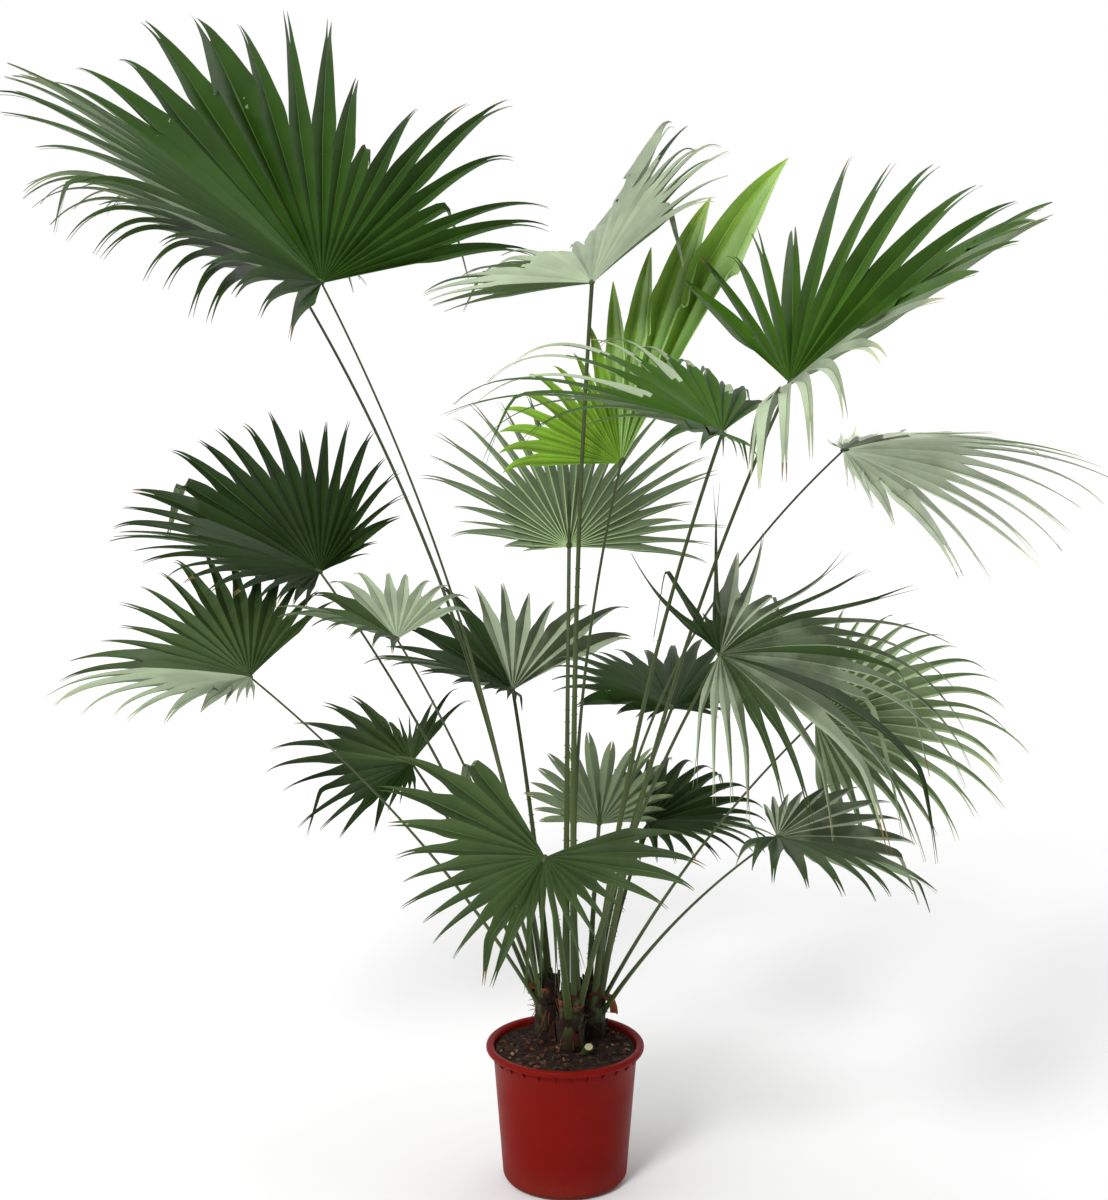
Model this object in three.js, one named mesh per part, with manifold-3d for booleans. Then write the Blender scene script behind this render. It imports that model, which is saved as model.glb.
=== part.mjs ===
// A Chinese fan palm in a nursery pot: a clump of short stems, long petioles and pleated fan blades.
// Millimetres, +Z up, origin at the centre of the pot's flat underside. Angles are in degrees, and a
// heading is counted from +X towards +Y.
import * as THREE from "three";
import { mergeVertices } from "three/addons/utils/BufferGeometryUtils.js";
import Module from "manifold-3d";

const wasm = await Module();
wasm.setup();

// ---------- driving dimensions ----------

const CLEARANCE = 0.3; // gap that neighbouring pieces keep

const POT = {
  sides: 40,
  height: 243,
  rimRadius: 135,
  lipHeight: 11, // the rolled lip, outside
  bodyTopRadius: 123,
  footRadius: 90, // the flat underside that the pot stands on
  footRise: 15, // height of the rounded edge above it
  bodyFootRadius: 107,
  wall: 2.6,
  floor: 4,
};

const SOIL = {
  level: 229, // the flat middle, where the stems stand
  flatRadius: 98,
  edgeLevel: 224, // against the wall of the pot
};

// Each short stem: its foot on the soil, the lean of its top, its height, and its radii from the flared
// foot to the crown where the petioles leave.
const STEM_SIDES = 12;
const STEMS = {
  left: { foot: [-25, 64], lean: [-6, 4], height: 102, radii: [26, 20, 18, 12] },
  right: { foot: [43, 60], lean: [7, 4], height: 98, radii: [25, 19, 18, 12] },
  front: { foot: [8, 12], lean: [1, -5], height: 98, radii: [24, 18, 17, 12] },
};
const STEM_LEVELS = [0, 0.3, 0.75, 1]; // heights of those radii, as shares of the stem's height

const PETIOLE = {
  sides: 6,
  steps: 8,
  tipWidth: 6.5,
  flatness: 0.75, // depth over width
  taper: 2.2, // how soon the broad foot narrows
  knob: 7, // the blade's knob starts this far before the blade
};

const BLADE = {
  thickness: 0.01, // as a share of the blade's length
  marchSteps: 24,
  foldSpan: 25, // the fold is complete this far from the middle line
  point: 1.4, // how soon a leaflet narrows to its point
  unevenness: 0.08, // how much the leaflets' lengths differ
  reaches: [1, 0.85, 0.7, 0.55, 0.4, 0.25, 0.1], // a leaflet is cut back to the first that is clear
};

// What a frond has where its own row says nothing else.
const COMMON = {
  roll: 0, // turn of the blade about its middle line
  turn: 0, // turn of the leaflets away from the middle line
  leaflets: 24,
  spread: 250, // how much of a circle the leaflets take
  fused: 0.54, // share of a leaflet that is joined to its neighbours
  side: 0.72, // length of the outermost leaflets over the longest
  shape: 1.6, // how late the lengths fall off towards the outermost leaflets
  fold: 18, // how far each half is lifted about the middle line
  arch: 0.2, // bend of the joined part towards the ground
  droop: 0.7, // bend of the free tips towards the ground
  limp: 0.8, // how much more the outermost leaflets droop
  bow: 0.08, // arch of the petiole, as a share of its length
  footWidth: 15,
};

// Each frond: its stem, where its petiole leaves that stem (heading round it, and height), the point
// where its blade starts, the heading and rise of the blade's middle line, and the blade's length.
const FRONDS = {
  top_left: { stem: "left", foot: [190, 316], hub: [-397, 60, 1525], heading: 155, rise: 38, roll: 12, radius: 620,
    leaflets: 26, spread: 230, fold: 25, side: 0.68, arch: 0.05, droop: 0.3, limp: 0.6, bow: 0.09 },
  top_left_rear: { stem: "left", foot: [110, 312], hub: [-480, 330, 1530], heading: 150, rise: 28, radius: 560,
    leaflets: 24, spread: 220, fold: 15, droop: 0.8, bow: 0.12 },
  top_middle: { stem: "front", foot: [300, 316], hub: [40, -100, 1530], heading: 92, rise: 20, roll: 25, radius: 345,
    leaflets: 24, spread: 210, fold: 25, droop: 0.5 },
  young_leaf: { stem: "front", foot: [30, 320], hub: [89, -20, 1239], heading: 16, rise: 58, roll: -50, radius: 620,
    leaflets: 9, spread: 125, turn: -57, fused: 0.56, side: 0.34, shape: 0.4, fold: 10, arch: 0.1, droop: 0.3, limp: 2 },
  top_right: { stem: "right", foot: [330, 314], hub: [332, -270, 1389], heading: 20, rise: 34, roll: -5, radius: 525,
    leaflets: 28, spread: 226, turn: 27, fold: 23, side: 0.6, arch: 0.05, droop: 0.25, limp: 6 },
  far_right: { stem: "right", foot: [20, 306], hub: [461, 80, 1249], heading: 0, rise: 5, radius: 470,
    leaflets: 24, spread: 190, fold: -15, arch: 0.5, droop: 0.6, bow: 0.22 },
  inner_right: { stem: "right", foot: [280, 312], hub: [234, -250, 1313], heading: 190, rise: 20, roll: 15, radius: 395,
    leaflets: 24, spread: 240, fold: 15, side: 0.8, droop: 0.9 },
  front_fan: { stem: "front", foot: [240, 312], hub: [7, 180, 1071], heading: 270, rise: 65, radius: 325,
    leaflets: 26, spread: 198, fold: 10, droop: 0.3, side: 0.85 },
  left_upper: { stem: "left", foot: [150, 294], hub: [-419, 150, 1032], heading: 170, rise: 22, roll: 24, radius: 385,
    leaflets: 26, spread: 225, turn: 12, fold: 24, droop: 0.4 },
  left_outer: { stem: "left", foot: [205, 286], hub: [-513, -60, 895], heading: 180, rise: 10, roll: 8, radius: 330,
    leaflets: 22, spread: 225, turn: 6, fold: 28, droop: 0.5 },
  left_folded: { stem: "left", foot: [230, 300], hub: [-274, -50, 956], heading: 155, rise: 16, roll: 6, radius: 225,
    leaflets: 20, spread: 230, fold: 28, droop: 0.5 },
  rear_middle: { stem: "left", foot: [80, 306], hub: [-94, 340, 782], heading: 165, rise: 20, roll: 15, radius: 290,
    leaflets: 22, spread: 245, fold: 30, droop: 0.5 },
  left_lower: { stem: "left", foot: [165, 274], hub: [-270, 200, 682], heading: 138, rise: 20, roll: 50, radius: 275,
    leaflets: 22, spread: 250, turn: -25, fold: 15, side: 0.65, droop: 0.4 },
  front_low: { stem: "front", foot: [262, 284], hub: [-33, -250, 649], heading: 252, rise: -47, radius: 275,
    leaflets: 19, spread: 258, turn: 12, fold: 6, side: 0.95, droop: 0.2 },
  right_rear: { stem: "right", foot: [75, 306], hub: [188, 200, 781], heading: 105, rise: 20, radius: 300,
    leaflets: 22, spread: 250, fold: 15, droop: 0.6 },
  right_front: { stem: "front", foot: [340, 299], hub: [236, -240, 969], heading: 348, rise: 0, roll: -25, radius: 450,
    leaflets: 24, spread: 230, turn: -15, fold: 5, fused: 0.38, side: 0.6, arch: 0.6, droop: 1.2 },
  right_outer: { stem: "right", foot: [0, 292], hub: [422, 60, 794], heading: 10, rise: 20, roll: -35, radius: 380,
    leaflets: 22, spread: 210, turn: 8, fold: 8, droop: 0.9 },
  right_low_rear: { stem: "right", foot: [50, 284], hub: [149, 220, 568], heading: 10, rise: 5, roll: -15, radius: 250,
    leaflets: 22, spread: 225, fold: 20, droop: 0.6 },
  right_lowest: { stem: "right", foot: [345, 269], hub: [335, -190, 664], heading: 350, rise: -5, roll: -12, radius: 300,
    leaflets: 20, spread: 235, fold: 22, side: 0.55, droop: 0.6 },
  rear_low: { stem: "right", foot: [110, 290], hub: [61, 200, 570], heading: 270, rise: 70, radius: 200,
    leaflets: 16, spread: 180, fold: 10, droop: 1.2 },
};

// Papery leaf sheaths that hang off the crowns: the stem, heading round it, height and length.
const SHEATHS = {
  left: { stem: "left", heading: 200, height: 294, length: 52 },
  left_front: { stem: "left", heading: 262, height: 300, length: 40 },
  front: { stem: "front", heading: 235, height: 298, length: 44 },
  front_right: { stem: "front", heading: 312, height: 294, length: 40 },
  right: { stem: "right", heading: 318, height: 290, length: 56 },
  rear: { stem: "right", heading: 95, height: 294, length: 44 },
};
const SHEATH = { width: 24, thickness: 1.4, flare: 17, steps: 4 };

// The stump of a leaf that was cut off, standing on the soil.
const STUMP = { foot: [36, -16], lean: [5, -9], height: 20, radii: [11, 8.5], sides: 8 };

// ---------- small helpers ----------

const radians = THREE.MathUtils.degToRad;
const mix = THREE.MathUtils.lerp;
const UP = new THREE.Vector3(0, 0, 1);

// A number from 0 to 1 that is always the same for the same two numbers.
function chance(a, b) {
  const wave = Math.sin(a * 127.1 + b * 311.7) * 43758.5453;
  return wave - Math.floor(wave);
}

// The sum of vectors, each times its own number.
function blend(...terms) {
  const sum = new THREE.Vector3();
  for (const [vector, times] of terms) {
    sum.addScaledVector(vector, times);
  }
  return sum;
}

function flatDirection(heading) {
  return new THREE.Vector3(Math.cos(radians(heading)), Math.sin(radians(heading)), 0);
}

// ---------- solids ----------

function solidFrom(geometry) {
  const bare = geometry.clone();
  bare.deleteAttribute("normal");
  bare.deleteAttribute("uv");
  const merged = mergeVertices(bare, 1e-4);
  const mesh = new wasm.Mesh({
    numProp: 3,
    vertProperties: new Float32Array(merged.attributes.position.array),
    triVerts: new Uint32Array(merged.index.array),
  });
  return new wasm.Manifold(mesh);
}

function geometryFrom(solid) {
  const mesh = solid.getMesh();
  const geometry = new THREE.BufferGeometry();
  geometry.setAttribute("position", new THREE.BufferAttribute(new Float32Array(mesh.vertProperties), 3));
  geometry.setIndex(new THREE.BufferAttribute(new Uint32Array(mesh.triVerts), 1));
  return geometry;
}

// Cutting can leave scraps: only the largest part is kept.
function largestPart(solid) {
  return solid.decompose().reduce((best, part) => (part.volume() > best.volume() ? part : best));
}

function boxesMeet(a, b) {
  return [0, 1, 2].every((axis) => a.min[axis] <= b.max[axis] && b.min[axis] <= a.max[axis]);
}

function touches(solid, others) {
  const box = solid.boundingBox();
  return others.some((other) => boxesMeet(box, other.boundingBox()) && !solid.intersect(other).isEmpty());
}

function cutClear(solid, others) {
  const box = solid.boundingBox();
  const near = others.filter((other) => boxesMeet(box, other.boundingBox()));
  return near.length ? largestPart(near.reduce((rest, other) => rest.subtract(other), solid)) : solid;
}

// A closed skin through rings of points that run the same way round, with flat ends.
function loft(rings) {
  const around = rings[0].length;
  const index = [];
  for (let ring = 0; ring + 1 < rings.length; ring += 1) {
    for (let k = 0; k < around; k += 1) {
      const a = ring * around + k;
      const b = ring * around + ((k + 1) % around);
      index.push(a, b, b + around, a, b + around, a + around);
    }
  }
  const last = (rings.length - 1) * around;
  for (let k = 1; k + 1 < around; k += 1) {
    index.push(0, k + 1, k, last, last + k, last + k + 1);
  }
  const geometry = new THREE.BufferGeometry();
  geometry.setAttribute("position", new THREE.Float32BufferAttribute(rings.flat().flatMap((p) => p.toArray()), 3));
  geometry.setIndex(index);
  return geometry;
}

// A ring of points round a centre: across and along are the half axes of the oval.
function oval(centre, across, along, sides) {
  return Array.from({ length: sides }, (_, k) => {
    const angle = (k / sides) * 2 * Math.PI;
    return blend([centre, 1], [across, Math.cos(angle)], [along, Math.sin(angle)]);
  });
}

// ---------- pot and soil ----------

function lathe(points, sides) {
  const profile = points.map(([radius, height]) => new THREE.Vector2(radius, height));
  return new THREE.LatheGeometry(profile, sides).rotateX(Math.PI / 2);
}

function innerRadius(height) {
  const { bodyFootRadius, bodyTopRadius, footRise, wall } = POT;
  return mix(bodyFootRadius, bodyTopRadius, (height - footRise) / (POT.height - footRise)) - wall;
}

function potSolid() {
  const { height, rimRadius, lipHeight, bodyTopRadius, footRadius, footRise, bodyFootRadius, wall, floor } = POT;
  const lipTop = rimRadius - 5;
  return solidFrom(lathe([
    [0, 0],
    [footRadius, 0],
    [mix(footRadius, bodyFootRadius, 0.75), footRise * 0.35],
    [bodyFootRadius, footRise],
    [bodyTopRadius, height - lipHeight],
    [rimRadius - 1.5, height - lipHeight + 1],
    [rimRadius, height - lipHeight / 2],
    [rimRadius - 1.5, height - 1.5],
    [lipTop, height],
    [bodyTopRadius - wall + 3, height - 1],
    [bodyTopRadius - wall, height - lipHeight],
    [innerRadius(footRise), footRise],
    [footRadius - wall, floor],
    [0, floor],
  ], POT.sides));
}

function soilSolid() {
  const { level, flatRadius, edgeLevel } = SOIL;
  const bottom = POT.floor + CLEARANCE;
  const gap = CLEARANCE * 1.5;
  return solidFrom(lathe([
    [0, bottom],
    [POT.footRadius - POT.wall - gap, bottom],
    [innerRadius(POT.footRise) - gap, POT.footRise + 1],
    [innerRadius(edgeLevel) - gap, edgeLevel],
    [flatRadius, level],
    [0, level],
  ], POT.sides));
}

// ---------- stems ----------

// The middle line of a stem at a share of its height.
function stemAxis(stem, share) {
  const { foot, lean, height } = stem;
  return new THREE.Vector3(
    foot[0] + lean[0] * share,
    foot[1] + lean[1] * share,
    SOIL.level + CLEARANCE + height * share,
  );
}

function stemSolid(stem, grow = 0) {
  return solidFrom(loft(STEM_LEVELS.map((share, level) => {
    const radius = stem.radii[level] + grow;
    const centre = stemAxis(stem, share);
    if (grow && level === STEM_LEVELS.length - 1) centre.z += grow;
    return oval(centre, new THREE.Vector3(radius, 0, 0), new THREE.Vector3(0, radius, 0), STEM_SIDES);
  })));
}

// ---------- petioles ----------

// The petiole's middle line runs in one upright plane: across is square to that plane.
function petioleCurve(frond) {
  const stem = STEMS[frond.stem];
  const share = (frond.foot[1] - SOIL.level - CLEARANCE) / stem.height;
  const foot = stemAxis(stem, share).addScaledVector(flatDirection(frond.foot[0]), stem.radii[2] * 0.9);
  const hub = new THREE.Vector3(...frond.hub);
  const chord = blend([hub, 1], [foot, -1]);
  const along = chord.clone().normalize();
  const lift = blend([UP, 1], [along, -UP.dot(along)]).normalize();
  const middle = blend([foot, 0.5], [hub, 0.5], [lift, frond.bow * chord.length()]);
  const across = new THREE.Vector3().crossVectors(UP, along).normalize();
  return { curve: new THREE.QuadraticBezierCurve3(foot, middle, hub), across, length: chord.length() };
}

function petioleRing({ curve, across }, frond, share, grow) {
  const width = mix(PETIOLE.tipWidth, frond.footWidth, (1 - share) ** PETIOLE.taper) / 2 + grow;
  const depth = width * PETIOLE.flatness + grow * (1 - PETIOLE.flatness);
  const back = new THREE.Vector3().crossVectors(curve.getTangent(share), across);
  const half = across.clone().multiplyScalar(width);
  return oval(curve.getPoint(share), half, back.multiplyScalar(depth), PETIOLE.sides);
}

function petioleSolid(frond, grow = 0) {
  const path = petioleCurve(frond);
  const end = 1 - (PETIOLE.knob - grow) / path.length;
  const rings = [];
  for (let step = 0; step <= PETIOLE.steps; step += 1) {
    rings.push(petioleRing(path, frond, (end * step) / PETIOLE.steps, grow));
  }
  return solidFrom(loft(rings));
}

// ---------- blades ----------

// The blade's own directions at its hub: along its middle line, to its right, and up out of its face.
function bladeFrame(frond) {
  const heading = flatDirection(frond.heading);
  const rise = radians(frond.rise);
  const roll = radians(frond.roll);
  const along = blend([heading, Math.cos(rise)], [UP, Math.sin(rise)]);
  const level = flatDirection(frond.heading - 90);
  const face = new THREE.Vector3().crossVectors(level, along);
  return {
    hub: new THREE.Vector3(...frond.hub),
    along,
    right: blend([level, Math.cos(roll)], [face, Math.sin(roll)]),
    face: blend([level, -Math.sin(roll)], [face, Math.cos(roll)]),
  };
}

// How far out a leaflet is: 0 at the middle line, 1 at the outermost leaflet.
function outwardShare(frond, angle) {
  return Math.abs(angle) / (frond.spread / 2 + Math.abs(frond.turn));
}

// The way a leaflet leaves the hub, at an angle from the middle line.
function leafletDirection(frond, frame, angle) {
  const lift = radians(frond.fold) * Math.min(1, Math.abs(angle) / BLADE.foldSpan);
  const sideways = Math.abs(Math.sin(radians(angle)));
  const half = Math.sign(angle) * Math.cos(lift) * sideways;
  return blend([frame.along, Math.cos(radians(angle))], [frame.right, half], [frame.face, Math.sin(lift) * sideways]);
}

// A line from the hub that starts at an angle and bends under its weight. at() gives a point of it, at a
// distance from the hub along the line.
function leafletLine(frond, frame, angle, length) {
  const away = leafletDirection(frond, frame, angle);
  const outer = outwardShare(frond, angle);
  const droop = frond.droop * (1 + frond.limp * outer * outer);
  const split = length * frond.fused;
  const step = length / BLADE.marchSteps;
  const points = [frame.hub.clone()];
  for (let k = 0; k < BLADE.marchSteps; k += 1) {
    const reached = (k + 0.5) * step;
    const free = Math.max(0, (reached - split) / (length - split));
    const bend = frond.arch * (reached / length) + droop * free ** 1.5;
    points.push(blend([away, 1], [UP, -bend]).normalize().multiplyScalar(step).add(points[k]));
  }
  const at = (distance) => {
    const place = Math.min(distance / step, BLADE.marchSteps - 1e-6);
    const k = Math.floor(place);
    return points[k].clone().lerp(points[k + 1], place - k);
  };
  return { at, length, split };
}

// The lines of a blade: one along each leaflet, and one along each seam where neighbours are joined.
function bladeLines(frond, number) {
  const frame = bladeFrame(frond);
  const first = frond.turn - frond.spread / 2;
  const each = frond.spread / frond.leaflets;
  const lengthAt = (angle, place) => {
    const share = 1 - (1 - frond.side) * outwardShare(frond, angle) ** frond.shape;
    return frond.radius * share * (1 - BLADE.unevenness * chance(number, place));
  };
  const seams = [];
  for (let j = 0; j <= frond.leaflets; j += 1) {
    const angle = first + j * each;
    seams.push(leafletLine(frond, frame, angle, lengthAt(angle, j + 0.5)));
  }
  const middles = [];
  for (let j = 0; j < frond.leaflets; j += 1) {
    const angle = first + (j + 0.5) * each;
    middles.push(leafletLine(frond, frame, angle, lengthAt(angle, j)));
  }
  return { frame, seams, middles };
}

// One layer of points between two seams: the joined part, then the free part of the leaflet.
function leafletPoints({ seams, middles }, j, reach) {
  const [left, right, middle] = [seams[j], seams[j + 1], middles[j]];
  const split = (left.split + right.split) / 2;
  const start = [left.at(left.split), right.at(right.split)];
  const across = blend([start[1], 0.5], [start[0], -0.5]);
  const free = (share) => middle.at(mix(split, middle.length, share * reach));
  const halfway = free(0.5);
  const narrow = 1 - 0.5 ** BLADE.point;
  return {
    start,
    waist: [blend([halfway, 1], [across, -narrow]), blend([halfway, 1], [across, narrow])],
    tip: free(1),
  };
}

// A wedge round the free part of one leaflet, thicker by the clearance, that tests what it would touch.
function leafletProbe(lines, j, reach, half) {
  const { start, waist, tip } = leafletPoints(lines, j, reach);
  const face = new THREE.Vector3().crossVectors(blend([waist[1], 1], [waist[0], -1]), blend([tip, 1], [start[0], -1]));
  face.normalize().multiplyScalar(half);
  const ring = ([a, b]) => [
    blend([a, 1], [face, -1]), blend([b, 1], [face, -1]), blend([b, 1], [face, 1]), blend([a, 1], [face, 1]),
  ];
  return solidFrom(loft([ring(start), ring(waist), ring([tip, tip.clone().lerp(waist[1], 0.05)])]));
}

// The thin fan itself: two layers of points a thickness apart, joined round the outline.
function fanGeometry(frond, lines, reaches) {
  const { frame, seams } = lines;
  const half = (frond.radius * BLADE.thickness) / 2;
  const positions = [];
  const index = [];
  const pair = (point, face) => {
    positions.push(blend([point, 1], [face, half]), blend([point, 1], [face, -half]));
    return positions.length - 2;
  };
  const faceAt = (j, distance) => {
    const before = seams[Math.max(0, j - 1)];
    const after = seams[Math.min(seams.length - 1, j + 1)];
    const across = blend([after.at(distance), 1], [before.at(distance), -1]);
    const along = blend([seams[j].at(distance + 5), 1], [seams[j].at(distance - 5), -1]);
    return new THREE.Vector3().crossVectors(across, along).normalize();
  };
  const hub = pair(frame.hub, frame.face);
  const inner = seams.map((seam, j) => pair(seam.at(seam.split / 2), faceAt(j, seam.split / 2)));
  const notch = seams.map((seam, j) => pair(seam.at(seam.split), faceAt(j, seam.split)));
  // A patch shows its front on the upper layer and its back on the lower one.
  const patch = (...corners) => {
    for (let k = 1; k + 1 < corners.length; k += 1) {
      index.push(corners[0], corners[k + 1], corners[k]);
      index.push(corners[0] + 1, corners[k] + 1, corners[k + 1] + 1);
    }
  };
  // An edge closes the two layers along the outline, with the outside on its left.
  const edge = (...corners) => {
    for (let k = 0; k + 1 < corners.length; k += 1) {
      const [a, b] = [corners[k], corners[k + 1]];
      index.push(a, b, b + 1, a, b + 1, a + 1);
    }
  };
  for (let j = 0; j < frond.leaflets; j += 1) {
    const { start, waist, tip } = leafletPoints(lines, j, reaches[j]);
    const face = new THREE.Vector3()
      .crossVectors(blend([start[1], 1], [start[0], -1]), blend([tip, 1], [start[0], -0.5], [start[1], -0.5]))
      .normalize();
    const [left, right] = waist.map((point) => pair(point, face));
    const point = pair(tip, face.clone().multiplyScalar(0.4));
    patch(hub, inner[j], inner[j + 1]);
    patch(inner[j], notch[j], notch[j + 1], inner[j + 1]);
    patch(notch[j], left, right, notch[j + 1]);
    patch(left, point, right);
    edge(notch[j], left, point, right, notch[j + 1]);
  }
  edge(hub, inner[0], notch[0]);
  edge(notch[frond.leaflets], inner[frond.leaflets], hub);
  const geometry = new THREE.BufferGeometry();
  geometry.setAttribute("position", new THREE.Float32BufferAttribute(positions.flatMap((p) => p.toArray()), 3));
  geometry.setIndex(index);
  return geometry;
}

// The knob on the petiole's last stretch, where the leaflets meet.
function knobSolid(frond) {
  const path = petioleCurve(frond);
  const rings = [-2 * PETIOLE.knob, 3].map((beyond) => {
    const share = Math.min(1, 1 + beyond / path.length);
    const ring = petioleRing(path, frond, share, 0.6);
    const shift = path.curve.getTangent(1).multiplyScalar(Math.max(0, beyond));
    return ring.map((point) => point.add(shift));
  });
  return solidFrom(loft(rings));
}

function bladeSolid(frond, number, ownPetiole, limbs, blades) {
  const lines = bladeLines(frond, number);
  const half = (frond.radius * BLADE.thickness) / 2 + CLEARANCE * 3;
  const others = [...limbs, ...blades];
  const reaches = lines.middles.map((_, j) => {
    const clear = BLADE.reaches.find((reach) => !touches(leafletProbe(lines, j, reach, half), others));
    return clear ?? BLADE.reaches.at(-1);
  });
  const fan = solidFrom(fanGeometry(frond, lines, reaches));
  return largestPart(fan.add(knobSolid(frond)).subtract(ownPetiole));
}

// ---------- sheaths and stump ----------

function sheathSolid(sheath) {
  const stem = STEMS[sheath.stem];
  const share = (sheath.height - SOIL.level - CLEARANCE) / stem.height;
  const out = flatDirection(sheath.heading);
  const across = flatDirection(sheath.heading + 90);
  const root = stemAxis(stem, share).addScaledVector(out, stem.radii[1] - 2);
  const rings = [];
  for (let step = 0; step <= SHEATH.steps; step += 1) {
    const t = step / SHEATH.steps;
    const centre = blend([root, 1], [out, SHEATH.flare * Math.sin(t * Math.PI * 0.6)],
      [UP, sheath.length * (0.35 * Math.sin(t * Math.PI) - 0.45 * t)]);
    const half = across.clone().multiplyScalar((SHEATH.width / 2) * (1 - 0.85 * t ** 1.5));
    const skin = blend([out, 0.7], [UP, 0.7]).multiplyScalar(SHEATH.thickness / 2);
    rings.push([
      blend([centre, 1], [half, -1], [skin, -1]), blend([centre, 1], [half, 1], [skin, -1]),
      blend([centre, 1], [half, 1], [skin, 1]), blend([centre, 1], [half, -1], [skin, 1]),
    ]);
  }
  return solidFrom(loft(rings));
}

function stumpSolid() {
  const { foot, lean, height, radii, sides } = STUMP;
  return solidFrom(loft([0, 1].map((level) => {
    const centre = new THREE.Vector3(foot[0] + lean[0] * level, foot[1] + lean[1] * level,
      SOIL.level + CLEARANCE + height * level);
    const radius = radii[level];
    return oval(centre, new THREE.Vector3(radius, 0, 0), new THREE.Vector3(0, radius * 0.75, 0), sides);
  })));
}

// ---------- the scene graph ----------

const MATERIALS = {
  pot: new THREE.MeshStandardMaterial({ color: 0x8a2016, roughness: 0.5, metalness: 0 }),
  soil: new THREE.MeshStandardMaterial({ color: 0x2b1a12, roughness: 1, metalness: 0 }),
  stem: new THREE.MeshStandardMaterial({ color: 0x4a3320, roughness: 0.95, metalness: 0 }),
  petiole: new THREE.MeshStandardMaterial({ color: 0x3f4a20, roughness: 0.55, metalness: 0 }),
  blade: new THREE.MeshStandardMaterial({ color: 0x2f5c1c, roughness: 0.5, metalness: 0 }),
  young: new THREE.MeshStandardMaterial({ color: 0x6ea51c, roughness: 0.5, metalness: 0 }),
  sheath: new THREE.MeshStandardMaterial({ color: 0x7a3718, roughness: 0.9, metalness: 0 }),
  cut: new THREE.MeshStandardMaterial({ color: 0x9aa56a, roughness: 0.8, metalness: 0 }),
};

const palm = new THREE.Group();

function addPiece(name, solid, material) {
  const mesh = new THREE.Mesh(geometryFrom(solid), MATERIALS[material]);
  mesh.name = name;
  palm.add(mesh);
}

addPiece("pot", potSolid(), "pot");
addPiece("soil", soilSolid(), "soil");

const limbs = [];
for (const [name, stem] of Object.entries(STEMS)) {
  addPiece(`stem_${name}`, stemSolid(stem), "stem");
  limbs.push(stemSolid(stem, CLEARANCE));
}

const ownPetioles = {};
for (const [name, row] of Object.entries(FRONDS)) {
  const frond = { ...COMMON, ...row };
  const petiole = cutClear(petioleSolid(frond), limbs);
  addPiece(`petiole_${name}`, petiole, "petiole");
  ownPetioles[name] = petioleSolid(frond, CLEARANCE);
  limbs.push(ownPetioles[name]);
}

const stump = cutClear(stumpSolid(), limbs);
addPiece("cut_stump", stump, "cut");

const blades = [];
Object.entries(FRONDS).forEach(([name, row], number) => {
  const frond = { ...COMMON, ...row };
  const blade = bladeSolid(frond, number + 1, ownPetioles[name], limbs, blades);
  addPiece(`blade_${name}`, blade, name === "young_leaf" ? "young" : "blade");
  blades.push(blade);
});

for (const [name, sheath] of Object.entries(SHEATHS)) {
  addPiece(`sheath_${name}`, cutClear(sheathSolid(sheath), [...limbs, stump]), "sheath");
}

export default palm;
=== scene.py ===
"""A Chinese fan palm in a round nursery pot: pleated fan leaves on long stalks, built round its solid frame.

Metres, +Z up, origin at the centre of the pot's flat underside. A heading is in degrees from +X towards +Y.
"""

import math
from functools import partial
from types import SimpleNamespace

import bpy
import numpy as np
from bpy.props import FloatProperty, FloatVectorProperty, IntProperty, PointerProperty
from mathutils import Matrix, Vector
from mathutils.bvhtree import BVHTree


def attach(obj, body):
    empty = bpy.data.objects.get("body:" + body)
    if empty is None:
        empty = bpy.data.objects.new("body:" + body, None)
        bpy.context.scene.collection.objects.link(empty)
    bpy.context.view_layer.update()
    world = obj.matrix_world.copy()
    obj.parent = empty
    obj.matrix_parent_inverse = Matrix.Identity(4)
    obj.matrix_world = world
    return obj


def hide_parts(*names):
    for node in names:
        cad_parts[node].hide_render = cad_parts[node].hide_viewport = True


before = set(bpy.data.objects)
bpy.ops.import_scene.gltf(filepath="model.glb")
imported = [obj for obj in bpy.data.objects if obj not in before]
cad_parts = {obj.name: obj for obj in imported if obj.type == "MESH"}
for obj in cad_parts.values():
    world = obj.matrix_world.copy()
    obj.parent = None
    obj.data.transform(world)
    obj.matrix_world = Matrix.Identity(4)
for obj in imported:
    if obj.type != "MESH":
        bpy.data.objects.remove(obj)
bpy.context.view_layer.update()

bl_info = {
    "name": "Potted Fan Palm",
    "version": (1, 0, 0),
    "blender": (4, 5, 0),
    "location": "3D View > Sidebar > Fan Palm",
    "description": "Builds a clump of fan palm in a round nursery pot round its solid frame",
    "category": "Add Mesh",
}

# ---------- the plant's plan ----------

Row = SimpleNamespace
STEMS = {
    "left": Row(foot=(-0.025, 0.064), lean=(-0.006, 0.004), height=0.102, radii=(0.026, 0.020, 0.018, 0.012)),
    "right": Row(foot=(0.043, 0.060), lean=(0.007, 0.004), height=0.098, radii=(0.025, 0.019, 0.018, 0.012)),
    "front": Row(foot=(0.008, 0.012), lean=(0.001, -0.005), height=0.098, radii=(0.024, 0.018, 0.017, 0.012)),
}
STEM_LEVELS = (0, 0.3, 0.75, 1)  # the parts of a stem's height at which it has its radii

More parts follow.
